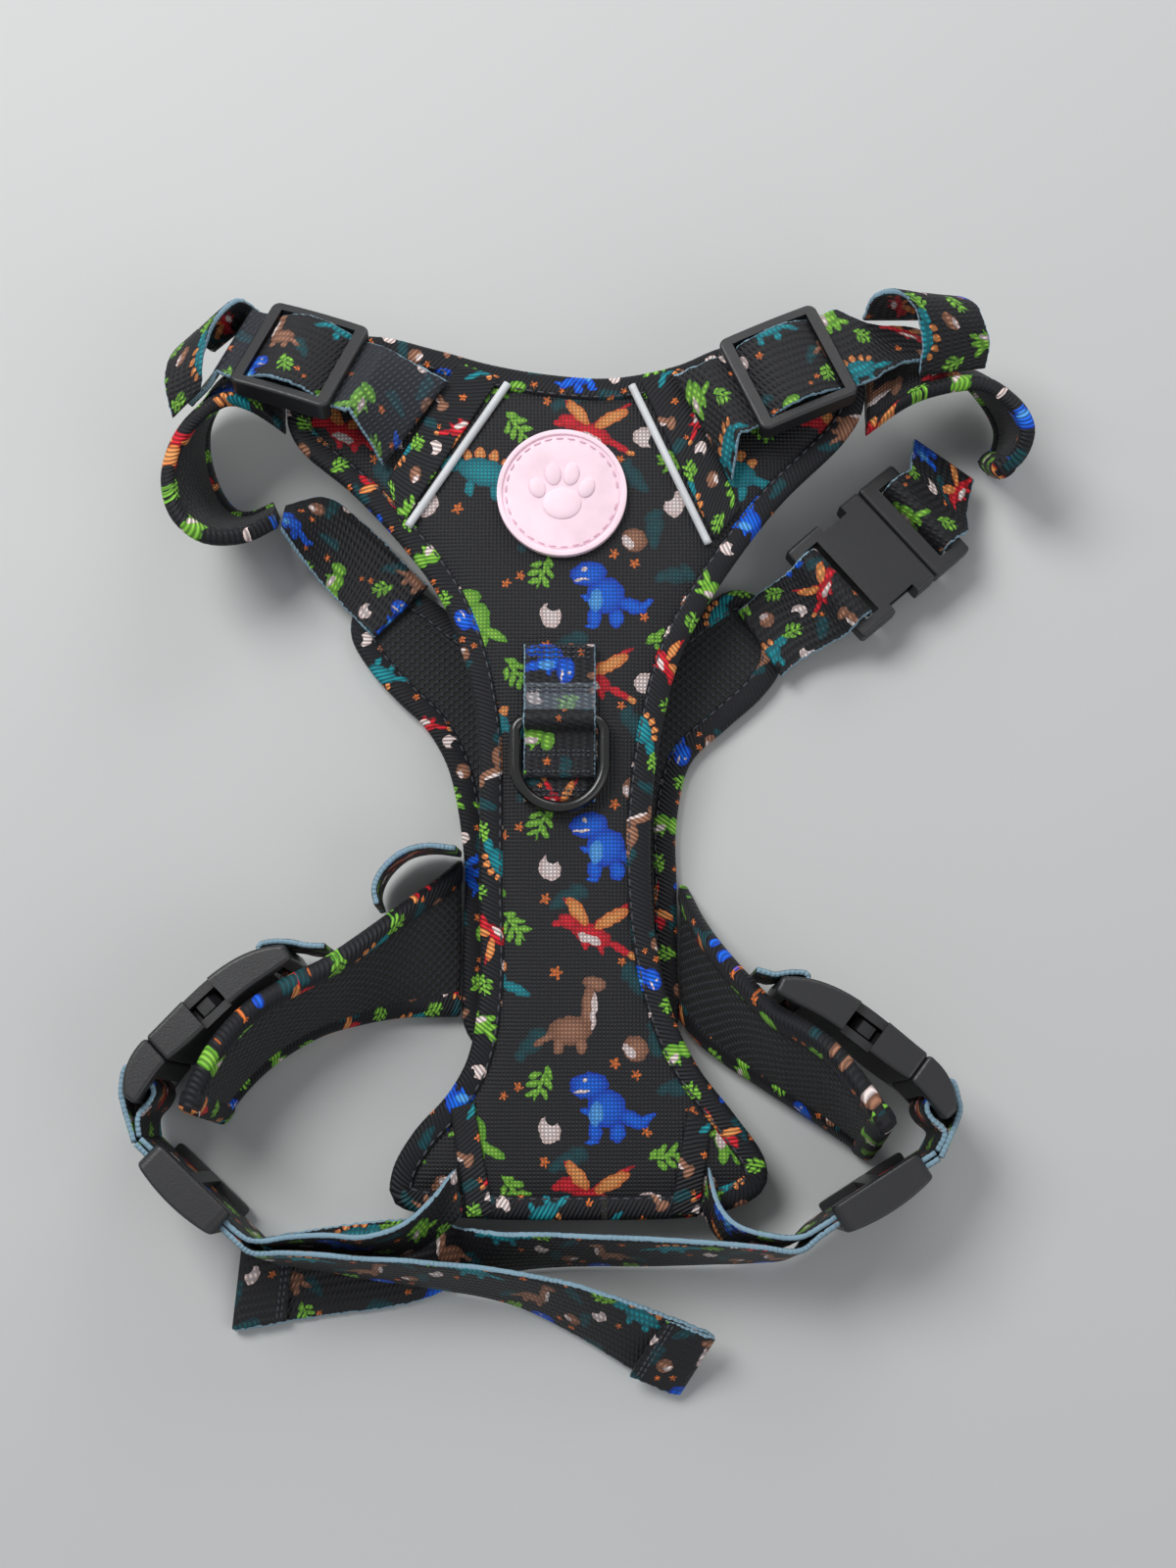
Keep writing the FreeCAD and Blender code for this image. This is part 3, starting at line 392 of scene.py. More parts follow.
def buildHoles():
    tree, start, end = newGroup("meshHoles", Height="Float", Hole="Float")
    scaled = inMillimetres(tree, start.outputs[0])
    wide, tall = holes["pitch"]
    nearest = 9.0
    for x, y in ((0.0, 0.0), (wide, tall)):
        moved = vectorMaths(tree, "SUBTRACT", scaled, (x, y, 0))
        tiled = vectorMaths(tree, "WRAP", moved, (wide, tall, 1.0), (-wide, -tall, -1.0))
        stretched = vectorMaths(tree, "DIVIDE", tiled, (*holes["reach"], 1.0))
        nearest = maths(tree, "MINIMUM", vectorMaths(tree, "LENGTH", stretched), nearest)
    ramp = node(tree, "MapRange", {"interpolation_type": "SMOOTHSTEP"}, Value=nearest)
    ramp.inputs["From Min"].default_value = holes["inner"]
    ramp.inputs["From Max"].default_value = holes["outer"]
    tree.links.new(ramp.outputs[0], end.inputs[0])
    # The second output is a painted shade mask, 1 inside the holes.
    tree.links.new(maths(tree, "SUBTRACT", 1.0, ramp.outputs[0]), end.inputs[1])
    return tree


groups = {"print": buildPrint(), "holes": buildHoles()}
groups.update({key: buildWave(*weave) for key, weave in weaves.items()})


def newMaterial(name, roughness, **constant):
    material = bpy.data.materials.new(name)
    material.use_nodes = True
    tree = material.node_tree
    shader = tree.nodes["Principled BSDF"]
    shader.inputs["Roughness"].default_value = roughness
    for label, value in constant.items():
        shader.inputs[label.replace("_", " ")].default_value = value
    return material, tree, shader


def addBump(tree, shader, height, strength, distance):
    bump = node(tree, "Bump", Strength=strength, Distance=distance, Height=height)
    tree.links.new(bump.outputs[0], shader.inputs["Normal"])


def useGroup(tree, name, vector):
    made = tree.nodes.new("ShaderNodeGroup")
    made.node_tree = groups[name]
    tree.links.new(vector, made.inputs[0])
    return made


wear = {"pale": tone(96, 104, 116), "rubbed": tone(132, 142, 152), "rubbedShare": 0.55,
        "edge": tone(128, 158, 174), "edgeStart": 0.497, "fray": 0.03, "frayScale": 900.0}


def printedMaterial(name, weave, offset, turn=0.0, edge=False, bumpDistance=0.00025, fade=1.0, roughness=0.62,
                    size=1.0, worn=None):
    material, tree, shader = newMaterial(name, roughness, Sheen_Weight=0.04, Sheen_Roughness=0.5,
                                         Specular_IOR_Level=0.32)
    own = node(tree, "UVMap", {"uv_map": "cloth"}).outputs[0]
    shifted = node(tree, "Mapping", {"vector_type": "POINT"}, Vector=own, Rotation=(0, 0, math.radians(turn)),
                   Location=(offset[0] / 1000, offset[1] / 1000, 0), Scale=(1 / size, 1 / size, 1))
    printed = useGroup(tree, "print", shifted.outputs[0]).outputs[0]
    woven = useGroup(tree, weave, own)
    if edge or worn:
        share = node(tree, "SeparateXYZ", Vector=node(tree, "UVMap", {"uv_map": "share"}).outputs[0]).outputs
    if fade < 1:
        printed = mixColour(tree, fade, wear["pale"], printed)
    if worn:  # rubbed pale where the loop stands proud, between two shares of its length
        rubbed = maths(tree, "COMPARE", share[0], (worn[0] + worn[1]) / 2, (worn[1] - worn[0]) / 2)
        rubbed = maths(tree, "MULTIPLY", rubbed, wear["rubbedShare"])
        printed = mixColour(tree, rubbed, printed, wear["rubbed"])
    # The weave's painted shade and painted highlight are multiplied into the print here.
    colour = mixColour(tree, 1.0, printed, woven.outputs["Shade"], "MULTIPLY")
    if edge:  # the webbing's pale, slightly frayed selvedge
        fromMiddle = maths(tree, "ABSOLUTE", maths(tree, "SUBTRACT", share[1], 0.5))
        fray = noise(tree, own, wear["frayScale"], 1.0, flat=True)["Fac"]
        limit = maths(tree, "MULTIPLY_ADD", fray, wear["fray"], fromMiddle)
        colour = mixColour(tree, maths(tree, "GREATER_THAN", limit, wear["edgeStart"]), colour, wear["edge"])
    tree.links.new(colour, shader.inputs["Base Color"])
    addBump(tree, shader, woven.outputs["Height"], 0.9, bumpDistance)
    return material


def meshMaterial():
    material, tree, shader = newMaterial("spacerMesh", 0.8, Sheen_Weight=0.08, Sheen_Roughness=0.4)
    netted = useGroup(tree, "holes", node(tree, "UVMap", {"uv_map": "cloth"}).outputs[0])
    # Painted shade: the mesh's holes are darkened to near black, standing in for the shade inside them.
    colour = mixColour(tree, netted.outputs["Hole"], tone(38, 40, 46), tone(4, 5, 6))
    tree.links.new(colour, shader.inputs["Base Color"])
    addBump(tree, shader, netted.outputs["Height"], 1.0, 0.0006)
    return material


moulded = {"dustScale": 60.0, "dustGain": 1.9, "unevenness": 0.22, "grainDepth": 0.0002}


def plasticMaterial(name, shade, roughness, grainScale, strength):
    material, tree, shader = newMaterial(name, roughness)
    place = node(tree, "TexCoord").outputs["Object"]
    grain = noise(tree, place, grainScale, 3.0)["Fac"]
    dust = noise(tree, place, moulded["dustScale"], 4.0)["Fac"]
    dusty = tuple(c * moulded["dustGain"] for c in shade[:3]) + (1,)
    tree.links.new(mixColour(tree, dust, shade, dusty), shader.inputs["Base Color"])
    uneven = maths(tree, "MULTIPLY_ADD", grain, moulded["unevenness"], roughness - moulded["unevenness"] / 2)
    tree.links.new(uneven, shader.inputs["Roughness"])
    addBump(tree, shader, grain, strength, moulded["grainDepth"])
    return material


def threadMaterial():
    material, tree, shader = newMaterial("blackThread", 0.6)
    place = node(tree, "TexCoord").outputs["Object"]
    twist = noise(tree, place, 2500.0, 2.0)["Fac"]
    colour = mixColour(tree, twist, tone(22, 22, 26), tone(78, 80, 88))
    tree.links.new(colour, shader.inputs["Base Color"])
    return material


ribs = {"weave": "webbing", "edge": True, "bumpDistance": 0.0003}
finish = {
    "panel": printedMaterial("printedOxford", "oxford", (20, 56), roughness=0.55, size=1.15),
    "pad": printedMaterial("printedOxfordPads", "oxford", (31, 22), turn=90, size=1.1),
    "tape": printedMaterial("printedTape", "ribbed", (5, 9), turn=17, bumpDistance=0.0003, size=0.7),
    "strap": printedMaterial("printedWebbing", offset=(3, 15), size=0.74, **ribs),
    "strapPale": printedMaterial("wornWebbing", offset=(22, 40), fade=0.8, size=0.82, **ribs),
    "strapRubbed": printedMaterial("rubbedWebbing", offset=(22, 40), worn=(0.52, 0.74), size=0.82, **ribs),
    "mesh": meshMaterial(),
    "plastic": plasticMaterial("grainedPlastic", tone(26, 26, 28), 0.42, 2600.0, 0.35),
    "metal": plasticMaterial("blackCoatedMetal", tone(16, 16, 17), 0.22, 900.0, 0.06),
    "rubber": plasticMaterial("palePinkRubber", tone(214, 188, 197), 0.5, 1800.0, 0.12),
    "rubberDeep": plasticMaterial("deepPinkRubber", tone(196, 158, 172), 0.5, 1800.0, 0.12),
    "piping": plasticMaterial("reflectivePiping", tone(176, 178, 180), 0.42, 3200.0, 0.3),
    "thread": threadMaterial(),
}
print("finishes made")


def dress(piece, look, nodeName=None, body="root"):
    piece.data.materials.clear()
    piece.data.materials.append(finish[look])
    if nodeName:
        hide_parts(nodeName)
    if body:
        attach(piece, body)


def strap(name, nodeName, lowRail, highRail, held, body="root", look="strap", **extra):
    piece = makeStrip(name, lowRail, highRail, flatSection(), wobble=webbing["edgeWobble"], **extra)
    dress(piece, look, nodeName, body)
    return piece


def finishTape(piece, nodeName):
    dress(piece, "tape", nodeName)


def stitchRow(name, runs, length=2.2, gap=1.0, thick=0.32, look="thread"):
    # Short raised dashes along each run of (place, outward) pairs.
    sides, rings = 6, ((0.0, 0.35), (0.25, 1.0), (0.75, 1.0), (1.0, 0.35))
    points, faces = [], []
    for run in runs:
        spots = [Vector(p) for p, _ in run]
        normals = [Vector(n) for _, n in run]
        along = distancesAlong(spots)
        here = gap
        while here + length < along[-1]:
            ends = []
            for mark in (here, here + length):
                place, up = (Vector([np.interp(mark, along, [v[i] for v in values]) for i in range(3)])
                             for values in (spots, normals))
                ends.append((place, up.normalized()))
            heading = (ends[1][0] - ends[0][0]).normalized()
            first = len(points)
            for share, fat in rings:
                centre = ends[0][0].lerp(ends[1][0], share)
                up = ends[0][1].lerp(ends[1][1], share).normalized()
                side = heading.cross(up).normalized()
                for k in range(sides):
                    a = math.tau * k / sides
                    points.append(centre + (side * math.cos(a) + up * math.sin(a)) * thick * fat)
            for ring in range(len(rings) - 1):
                for k in range(sides):
                    m = (k + 1) % sides
                    base = first + ring * sides
                    faces.append((base + k, base + m, base + sides + m, base + sides + k))
            faces.append(tuple(first + k for k in range(sides)))
            faces.append(tuple(len(points) - 1 - k for k in range(sides)))
            here += length + gap
    piece = makeMesh(name, points, faces, [(0, 0)] * len(points))
    dress(piece, look)


backOutline = [
    (3, -105.5), (-28, -105), (-48, -102), (-50, -93), (-44, -82), (-35, -72), (-29, -60), (-26.5, -40),
    (-27, -14), (-27, 13), (-28, 31), (-32, 50), (-39, 67), (-50, 82), (-64, 97), (-80, 111), (-83, 124),
    (-79, 138), (-60, 143), (-41, 139), (-25, 134.5), (-8, 131.5), (10, 130.5), (28, 134), (43, 140),
    (62, 141), (79, 135), (82, 124), (76, 112), (57, 93), (40, 70), (29.5, 51), (24.5, 34), (21, 13),
    (20, -9), (21.5, -30), (26, -50), (33, -65), (43, -78), (51, -90), (49, -99), (33, -104.5)]

chestOutline = [
    (-2, -63), (-22, -61), (-31, -54), (-32, -40), (-32, -24), (-32, -6), (-36, 18), (-43, 32), (-52, 41),
    (-60, 50), (-66, 61), (-63, 72), (-54, 76), (-44, 72), (-26, 59), (-1, 52), (22, 58), (38, 70),
    (46, 74), (54, 71), (59, 62), (59, 51), (53, 42), (43, 33), (32, 22), (28, 4), (28, -14), (28, -34),
    (28, -52), (22, -60)]


def inwards(run, distance):
    inside = []
    for k, p in enumerate(run):
        step = run[(k + 1) % len(run)] - run[k - 1]
        along = step * distance / step.length
        inside.append(Vector((p.x + along.y, p.y - along.x, 0)))
    return inside


def depthInside(spots, run):  # distance from the outline, positive inside
    a = np.array([(p.x, p.y) for p in run])
    b = np.roll(a, -1, axis=0)
    spots = np.asarray(spots, float)
    best = np.full(len(spots), 1e9)
    crossings = np.zeros(len(spots), int)
    for (ax, ay), (bx, by) in zip(a, b):
        edge = np.array((bx - ax, by - ay))
        rel = spots - (ax, ay)
        t = np.clip((rel @ edge) / max(edge @ edge, 1e-9), 0, 1)
        best = np.minimum(best, np.hypot(*(rel - t[:, None] * edge).T))
        if ay != by:
            hit = (spots[:, 1] > ay) != (spots[:, 1] > by)
            crossings += hit & (spots[:, 0] < (bx - ax) * (spots[:, 1] - ay) / (by - ay) + ax)
    return np.where(crossings % 2 == 1, best, -best)


def swell(depth, x, y, sink, waves):
    # How far the cloth lies below its crown: pinched at the tape's stitching, with slow waves over the foam.
    share = np.clip((depth - panel["tape"] + 1.0) / 9.0, 0, 1)
    pinch = sink * (1 - share) ** 2
    wave = np.sin(x * 0.13 + y * 0.05) * np.sin(y * 0.085 - x * 0.04 + 0.6)
    wave += 0.5 * np.sin(y * 0.21 + x * 0.17)
    return -(pinch + waves * (0.5 + 0.25 * wave) * share)


def makeSlab(name, run, top, bottom, toPlace, sink, waves, cell=1.6, downwards=False):
    xs = np.arange(min(p.x for p in run), max(p.x for p in run) + cell, cell)
    ys = np.arange(min(p.y for p in run), max(p.y for p in run) + cell, cell)
    gridX, gridY = np.meshgrid(xs, ys)
    depth = depthInside(np.c_[gridX.ravel(), gridY.ravel()], run).reshape(gridX.shape)
    drops = swell(depth, gridX, gridY, sink, waves)
    used, points, uvs, faces, edges = {}, [], [], [], {}

    def corner(i, j, upper):
        if (i, j, upper) not in used:
            used[i, j, upper] = len(points)
            bent = drops[i, j]
            level = (top if downwards else top + bent) if upper else (bottom - bent if downwards else bottom)
            points.append(toPlace(gridX[i, j], gridY[i, j], level))
            uvs.append((gridX[i, j] / 1000, gridY[i, j] / 1000))
        return used[i, j, upper]

    for i in range(len(ys) - 1):
        for j in range(len(xs) - 1):
            if depth[i:i + 2, j:j + 2].min() < panel["hem"]:
                continue
            square = [(i, j), (i, j + 1), (i + 1, j + 1), (i + 1, j)]
            faces.append([corner(a, b, True) for a, b in square])
            faces.append([corner(a, b, False) for a, b in reversed(square)])
            for a, b in zip(square, square[1:] + square[:1]):
                edges[a, b] = True
    for a, b in edges:
        if (b, a) not in edges:
            faces.append([corner(*b, True), corner(*a, True), corner(*a, False), corner(*b, False)])
    return makeMesh(name, points, faces, uvs)


def makeTape(name, run, thickness, middle, toPlace, nodeName):
    outer = [toPlace(p.x, p.y, middle) for p in run]
    inner = [toPlace(p.x, p.y, middle) for p in inwards(run, panel["tape"])]
    section = roundSection(-0.01, 1.04, thickness / 2, 20, 3.2)
    piece = makeStrip(name, inner[::-1], outer[::-1], section, closed=True, steps=1, pitch=1.5)
    finishTape(piece, nodeName)


def makePanel(label, nodeName, outline, depth, top, toPlace, clothUp, waves):
    run = smoothRun([(x, y, 0) for x, y in outline], 6, closed=True)
    joint = top - depth + padding["lining"] if clothUp else top - padding["lining"]
    upper, lower = (top - panel["skin"], joint), (joint, top - depth + panel["skin"])
    outer, inner = (upper, lower) if clothUp else (lower, upper)
    covered = makeSlab(label + "Cloth", run, *outer, toPlace, panel["clothSink"], waves,
                       downwards=not clothUp)
    lined = makeSlab(label + "Mesh", run, *inner, toPlace, panel["meshSink"], waves * 0.6, cell=2.4,
                     downwards=clothUp)
    dress(covered, "panel", nodeName)
    dress(lined, "mesh", nodeName + "_lining")
    makeTape(label + "Tape", run, depth, top - depth / 2, toPlace, nodeName + "_binding")
    seam = inwards(run, panel["tape"] - 0.9)
    seam.append(seam[0])
    up = (toPlace(0, 0, 1) - toPlace(0, 0, 0)).normalized()
    stitchRow(label + "Stitches", [[(toPlace(p.x, p.y, top - 0.42), up) for p in seam]])
    return run


backRun = makePanel("backPanel", "back_panel", backOutline, panel["thickness"], 0.0, onPanel, True,
                    panel["waves"])
makePanel("chestPanel", "chest_panel", chestOutline, panel["chestThickness"], panel["chestThickness"],
          lambda x, y, z: Vector((x, y, z)), False, panel["chestWaves"])
print("panels made")


# Each trim sewn on the back panel, by the two ends of both its edges, or of its middle for the piping.
trim = {"thickness": 1.0, "lift": 0.1, "lowest": -0.9, "cuts": 14}
trims = {
    "yokeStripLeft": ("yoke_strips", ((-34.5, 134.5), (-54, 100)), ((-22, 130.5), (-49.8, 87))),
    "yokeStripRight": ("yoke_strips", ((17.5, 130), (38.6, 82.6)), ((29.5, 133), (46, 92))),
    "rootStripLeft": ("root_strips", ((-34.5, -76), (-29.8, -104.6)), ((-28, -74), (-22.5, -104.2))),
    "rootStripRight": ("root_strips", ((30, -76), (25.2, -104.2)), ((36.4, -80), (33, -103.8))),
}
piping = {"half": 1.25, "radius": 1.1, "lift": 0.65, "lowest": -0.5, "cuts": 16,
          "pipingLeft": ((-20, 128.5), (-48, 86.5)), "pipingRight": ((15.5, 128), (37, 81.5))}


def railOnPanel(start, stop, cuts, lowest, lift, shift=(0, 0)):  # along the cloth, between its pinched edges
    rail = []
    for k in range(cuts + 1):
        x, y = Vector(start).lerp(Vector(stop), k / cuts) + Vector(shift)
        depth = depthInside([(x, y)], backRun)
        rise = float(swell(depth, np.array([x]), np.array([y]), panel["clothSink"], panel["waves"])[0])
        rail.append(onPanel(x, y, max(rise - panel["skin"], lowest) + lift))
    return rail


for name, (nodeName, *edges) in trims.items():
    half = trim["thickness"] / 2
    rails = [railOnPanel(*edge, trim["cuts"], trim["lowest"], half + trim["lift"]) for edge in edges]
    piece = makeStrip(name, *rails, flatSection(6, 0.06, half), steps=2, pitch=1.5)
    dress(piece, "tape", nodeName)
for name in ("pipingLeft", "pipingRight"):
    start, stop = piping[name]
    away = Vector((stop[1] - start[1], start[0] - stop[0])).normalized() * piping["half"]
    rails = [railOnPanel(start, stop, piping["cuts"], piping["lowest"], piping["lift"], away * sign)
             for sign in (-1, 1)]
    piece = makeStrip(name, *rails, roundSection(0.04, 0.96, piping["radius"], 14, 2.0), steps=2, pitch=1.2)
    dress(piece, "piping", "piping")

leash = {"x": -4.9, "y": 30.5, "width": 20.0, "start": -22.5, "stop": 21.5, "thickness": 1.5, "wire": 3.3,
         "gap": 0.3, "tabTop": 1.55, "loopTop": 3.05,
         "loopTacks": (20.6, 19.2, 17.8, 9.4, 8.2, -8.6, -9.8, -14.4), "tabTacks": (-19.4, -20.8)}


def makeLeashTab():
    half = leash["width"] / 2
    inner = leash["wire"] / 2 + leash["gap"]
    thick = leash["thickness"]
    start, stop = leash["start"], leash["stop"]
    tabPath = [(y, thick / 2) for y in (start, -10, 5, stop)]
    rising = [(inner + 1.5, thick * 1.7), (inner + 0.7, thick + 1.6), (inner * 0.82, thick + inner * 2.05)]
    loopPath = [(-16, thick * 1.5), (-8, thick * 1.5)] + [(-y, z) for y, z in rising]
    loopPath += [(0, thick + inner * 2.6)] + rising[::-1] + [(y, thick * 1.5) for y in (8, 15, stop)]
    for name, nodeName, path, look in (("leashTab", "leash_tab", tabPath, "strap"),
                                       ("ringLoop", "ring_loop", loopPath, "strapRubbed")):
        rails = [[onPanel(leash["x"] + side, leash["y"] + y, z) for y, z in path] for side in (-half, half)]
        piece = makeStrip(name, *rails, flatSection(8, 0.03, thick / 2 - 0.04), pitch=0.9, wobble=0.15,
                          uvStart=(16, 2.5))
        dress(piece, look, nodeName)
    up = (onPanel(0, 0, 1) - onPanel(0, 0, 0)).normalized()
    tacks = []
    for rows, z in ((leash["loopTacks"], leash["loopTop"]), (leash["tabTacks"], leash["tabTop"])):
        for y in rows:
            tacks.append([(onPanel(leash["x"] + x, leash["y"] + y + 0.35 * (-1) ** k, z), up)
                          for k, x in enumerate(np.linspace(-half + 0.8, half - 0.8, 15))])
    stitchRow("tabStitches", tacks, length=1.3, gap=0.25, thick=0.3)


makeLeashTab()
print("trims made")


def fresh():
    if bpy.context.object and bpy.context.object.mode != "OBJECT":
        bpy.ops.object.mode_set(mode="OBJECT")
    bpy.ops.object.select_all(action="DESELECT")


def pickFaces(piece, wanted):
    bpy.ops.mesh.select_mode(type="FACE")
    bpy.ops.mesh.select_all(action="DESELECT")
    shaped = bmesh.from_edit_mesh(piece.data)
    for face in shaped.faces:
        face.select = wanted(face)
    bmesh.update_edit_mesh(piece.data)


def settle(piece, place):  # millimetres about its own middle to metres in the frame
    bpy.ops.object.mode_set(mode="OBJECT")
    piece.data.transform(Matrix.Scale(0.001, 4) @ Matrix.Translation(originShift) @ place)
    piece.location = (0, 0, 0)
    piece.data.update()


pawPads = [(0, -3.2, 5.6, 4.6, 0), (-7.0, 1.4, 2.3, 3.1, 24), (-2.6, 5.4, 2.4, 3.4, 8),
           (2.6, 5.4, 2.4, 3.4, -8), (7.0, 1.4, 2.3, 3.1, -24)]  # middle, half sizes and turn


def makeBadge():
    place = panelTilt @ Matrix.Translation((badge["x"], badge["y"], -badge["seat"]))
    fresh()
    bpy.ops.mesh.primitive_cylinder_add(vertices=96, radius=badge["radius"], depth=badge["height"],
                                        location=(0, 0, badge["height"] / 2), end_fill_type="NGON")
    disc = bpy.context.object
    disc.name = "badgeDisc"
    bpy.ops.object.transform_apply(location=True, rotation=True, scale=True)
    bpy.ops.object.mode_set(mode="EDIT")
    pickFaces(disc, lambda f: f.normal.z > 0.9 and f.calc_center_median().z > badge["height"] - 0.01)
    bpy.ops.mesh.inset(thickness=badge["rim"])
    bpy.ops.mesh.extrude_region_move(TRANSFORM_OT_translate={"value": (0, 0, -badge["recess"])})
    bpy.ops.mesh.inset(thickness=0.7)
    bpy.ops.mesh.extrude_region_move(TRANSFORM_OT_translate={"value": (0, 0, badge["field"])})
    bpy.ops.mesh.inset(thickness=6.0)
    bpy.ops.mesh.inset(thickness=5.0)
    bpy.ops.object.mode_set(mode="OBJECT")
    soften = disc.modifiers.new("soften", "BEVEL")
    soften.width, soften.segments, soften.limit_method = 0.35, 3, "ANGLE"
    bpy.ops.object.modifier_apply(modifier="soften")
    settle(disc, place)
    bpy.ops.object.shade_smooth_by_angle(angle=math.radians(35))
    dress(disc, "rubber", "badge")
    floor = badge["height"] - badge["recess"] + badge["field"]
    for k, (x, y, wide, tall, turn) in enumerate(pawPads):
        fresh()
        bpy.ops.mesh.primitive_uv_sphere_add(segments=32, ring_count=16, radius=1, location=(0, 0, 0))
        toe = bpy.context.object
        toe.name = "badgePad%d" % (k + 1)
        bpy.ops.object.mode_set(mode="EDIT")
        bpy.ops.mesh.select_all(action="SELECT")
        bpy.ops.mesh.bisect(plane_co=(0, 0, 0), plane_no=(0, 0, 1), use_fill=True, clear_inner=True)
        bpy.ops.mesh.select_all(action="SELECT")
        bpy.ops.transform.resize(value=(wide, tall, 0.75))
        turned = Matrix.Rotation(math.radians(turn), 4, "Z")
        settle(toe, place @ Matrix.Translation((x, y, floor - 0.06)) @ turned)
        bpy.ops.object.shade_smooth_by_angle(angle=math.radians(50))
        dress(toe, "rubber")
    ring = badge["radius"] * badge["dashRing"]
    up = (onPanel(0, 0, 1) - onPanel(0, 0, 0)).normalized()
    run = [(place @ Vector((ring * math.cos(a), ring * math.sin(a), floor + 0.02)), up)
           for a in np.linspace(0, math.tau, 120)]
    stitchRow("badgeDashes", [run], gap=1.12, thick=0.3, look="rubberDeep")


makeBadge()
print("badge made")


def placed(origin, along, up):  # a slider's or buckle's own frame
    x = Vector(along).normalized()
    y = Vector(up).cross(x).normalized()
    z = x.cross(y)
    turned = Matrix((x, y, z)).transposed().to_4x4()
    return Matrix.Translation(origin) @ turned


def across(place, points, half=webbing["width"] / 2):
    return [[place @ Vector((x, y, z)) for x, z in points] for y in (-half, half)]


def makePad(label, nodes, lowRail, highRail, clothSide, turnStart, closedEnd, lowBulge):
    half = padding["thickness"] / 2
    edge = padding["edgeShare"]
    inside = half - padding["lining"]
    cuts = 14
    span = [edge * 0.55 + (1 - edge * 1.1) * k / cuts for k in range(cuts + 1)]

    def crown(s, low, high):
        t = min(max((s - edge) / (1 - 2 * edge), 0), 1)
        return low + (high - low) * (1 - (2 * t - 1) ** 4)

    covered = [(s, clothSide * crown(s, half - 0.9, half + 0.35)) for s in span]
    covered += [(s, -clothSide * (inside - 0.05)) for s in reversed(span)]
    lined = [(s, -clothSide * crown(s, half - 0.55, half + 0.1)) for s in span]
    lined += [(s, -clothSide * (inside + 0.02)) for s in reversed(span)]
    for name, section, look, slotName, nodeName, fill in (
            ("Cloth", covered, "pad", "printed_fabric", nodes[0], 0.6),
            ("Mesh", lined, "mesh", "spacer_mesh", nodes[1], 0.3)):
        piece = makeStrip(label + name, lowRail, highRail, section, pitch=2.0, uvStart=(turnStart, 0))
        dress(piece, look, nodeName)
    for name, left, right, bulge, shift in (("Low", -0.005, edge * 1.06, lowBulge, 0),
                                            ("High", 1 - edge * 1.06, 1.005, padding["tapeBulge"], 40)):
        section = roundSection(left, right, half * bulge, 18, 2.6)
        piece = makeStrip(label + "Tape" + name, lowRail, highRail, section, pitch=1.5,
                          uvStart=(turnStart + shift, 0))
        finishTape(piece, nodes[2])
    if closedEnd:
        outer = [Vector(lowRail[-1]).lerp(Vector(highRail[-1]), k / 8) for k in range(9)]
        lowBack, highBack = ((Vector(rail[-2]) - Vector(rail[-1])).normalized() * panel["tape"]
                             for rail in (lowRail, highRail))
        inner = [p + lowBack.lerp(highBack, k / 8) for k, p in enumerate(outer)]
        section = roundSection(-0.06, 1.02, half * padding["endBulge"], 18, 2.6)
        piece = makeStrip(label + "TapeEnd", outer, inner, section, steps=2, pitch=1.5,
                          uvStart=(turnStart + 9, 0))
        finishTape(piece, nodes[2])


neckPads = {
    "Left": (
        [(-84, 114.5, 24.3), (-92, 119.5, 30), (-99, 120, 35), (-106, 114, 38), (-111.5, 106, 38.5),
         (-114, 96, 38), (-111.5, 86, 37), (-104, 80, 35), (-94, 81.5, 30), (-86, 88, 24)],
        [(-85, 136, 25.5), (-96, 138, 17), (-105, 135, 9), (-111, 127, 4), (-111.5, 117, 2.7),
         (-108.5, 107, 2.7), (-104.5, 100, 2.7), (-100, 96.5, 2.7), (-95, 96.5, 2.7), (-89, 99, 3)], -1),
    "Right": (
        [(82.8, 114, 24.2), (96, 122.5, 30), (112, 124.5, 36), (121, 119, 38), (126, 111.5, 37),
         (124.5, 105, 32), (119, 102, 25)],
        [(82.8, 136, 25.4), (98, 142, 18), (112, 141, 9), (121.5, 134, 3.5), (126, 124.5, 2.7),
         (124.5, 116, 2.7), (120, 112, 3)], 1),
}
bellyPads = {
    "Left": (
        [(-33.9, -50, 2.9), (-40, -50, 2.9), (-50, -50, 2.9), (-59, -51, 2.9), (-69, -53, 2.7),
         (-76, -56, 2.5), (-84, -61, 2.2), (-91, -67, 2), (-97, -74, 2), (-100, -79, 3)],
        [(-33.9, -6, 2.9), (-39, -12, 10), (-47, -20, 19), (-55, -28, 26), (-66, -37.5, 33),
         (-76, -43, 35), (-87, -50.5, 36), (-95, -60, 36), (-100, -70, 35), (-102, -77, 33.5)], 1),
    "Right": (
        [(30.2, -52, 2.9), (35.5, -58, 2.9), (43, -63.5, 2.9), (50, -67.5, 2.9), (58, -72.5, 2.7),
         (65, -77, 2.4), (72, -81.5, 2.2), (78, -85.5, 2), (82, -88, 3)],
        [(30.2, -13, 2.9), (33.5, -22, 10), (38, -31, 18), (44.5, -40.5, 26), (52, -49.5, 32),
         (60, -54.5, 35), (67.5, -60.5, 36), (75, -70, 36), (82, -81, 34)], -1),
}
for side in ("Left", "Right"):
    for kind, rails in (("neck", neckPads), ("belly", bellyPads)):
        nodes = ["%s_pad%s_%s" % (kind, part, side.lower()) for part in ("", "_lining", "_binding")]
        makePad("%sPad%s" % (kind, side), nodes, *rails[side], turnStart=20 if side == "Left" else 55,
                closedEnd=kind == "belly" or side == "Right",
                lowBulge=padding["neckTapeBulge" if kind == "neck" else "tapeBulge"])
print("pads made")

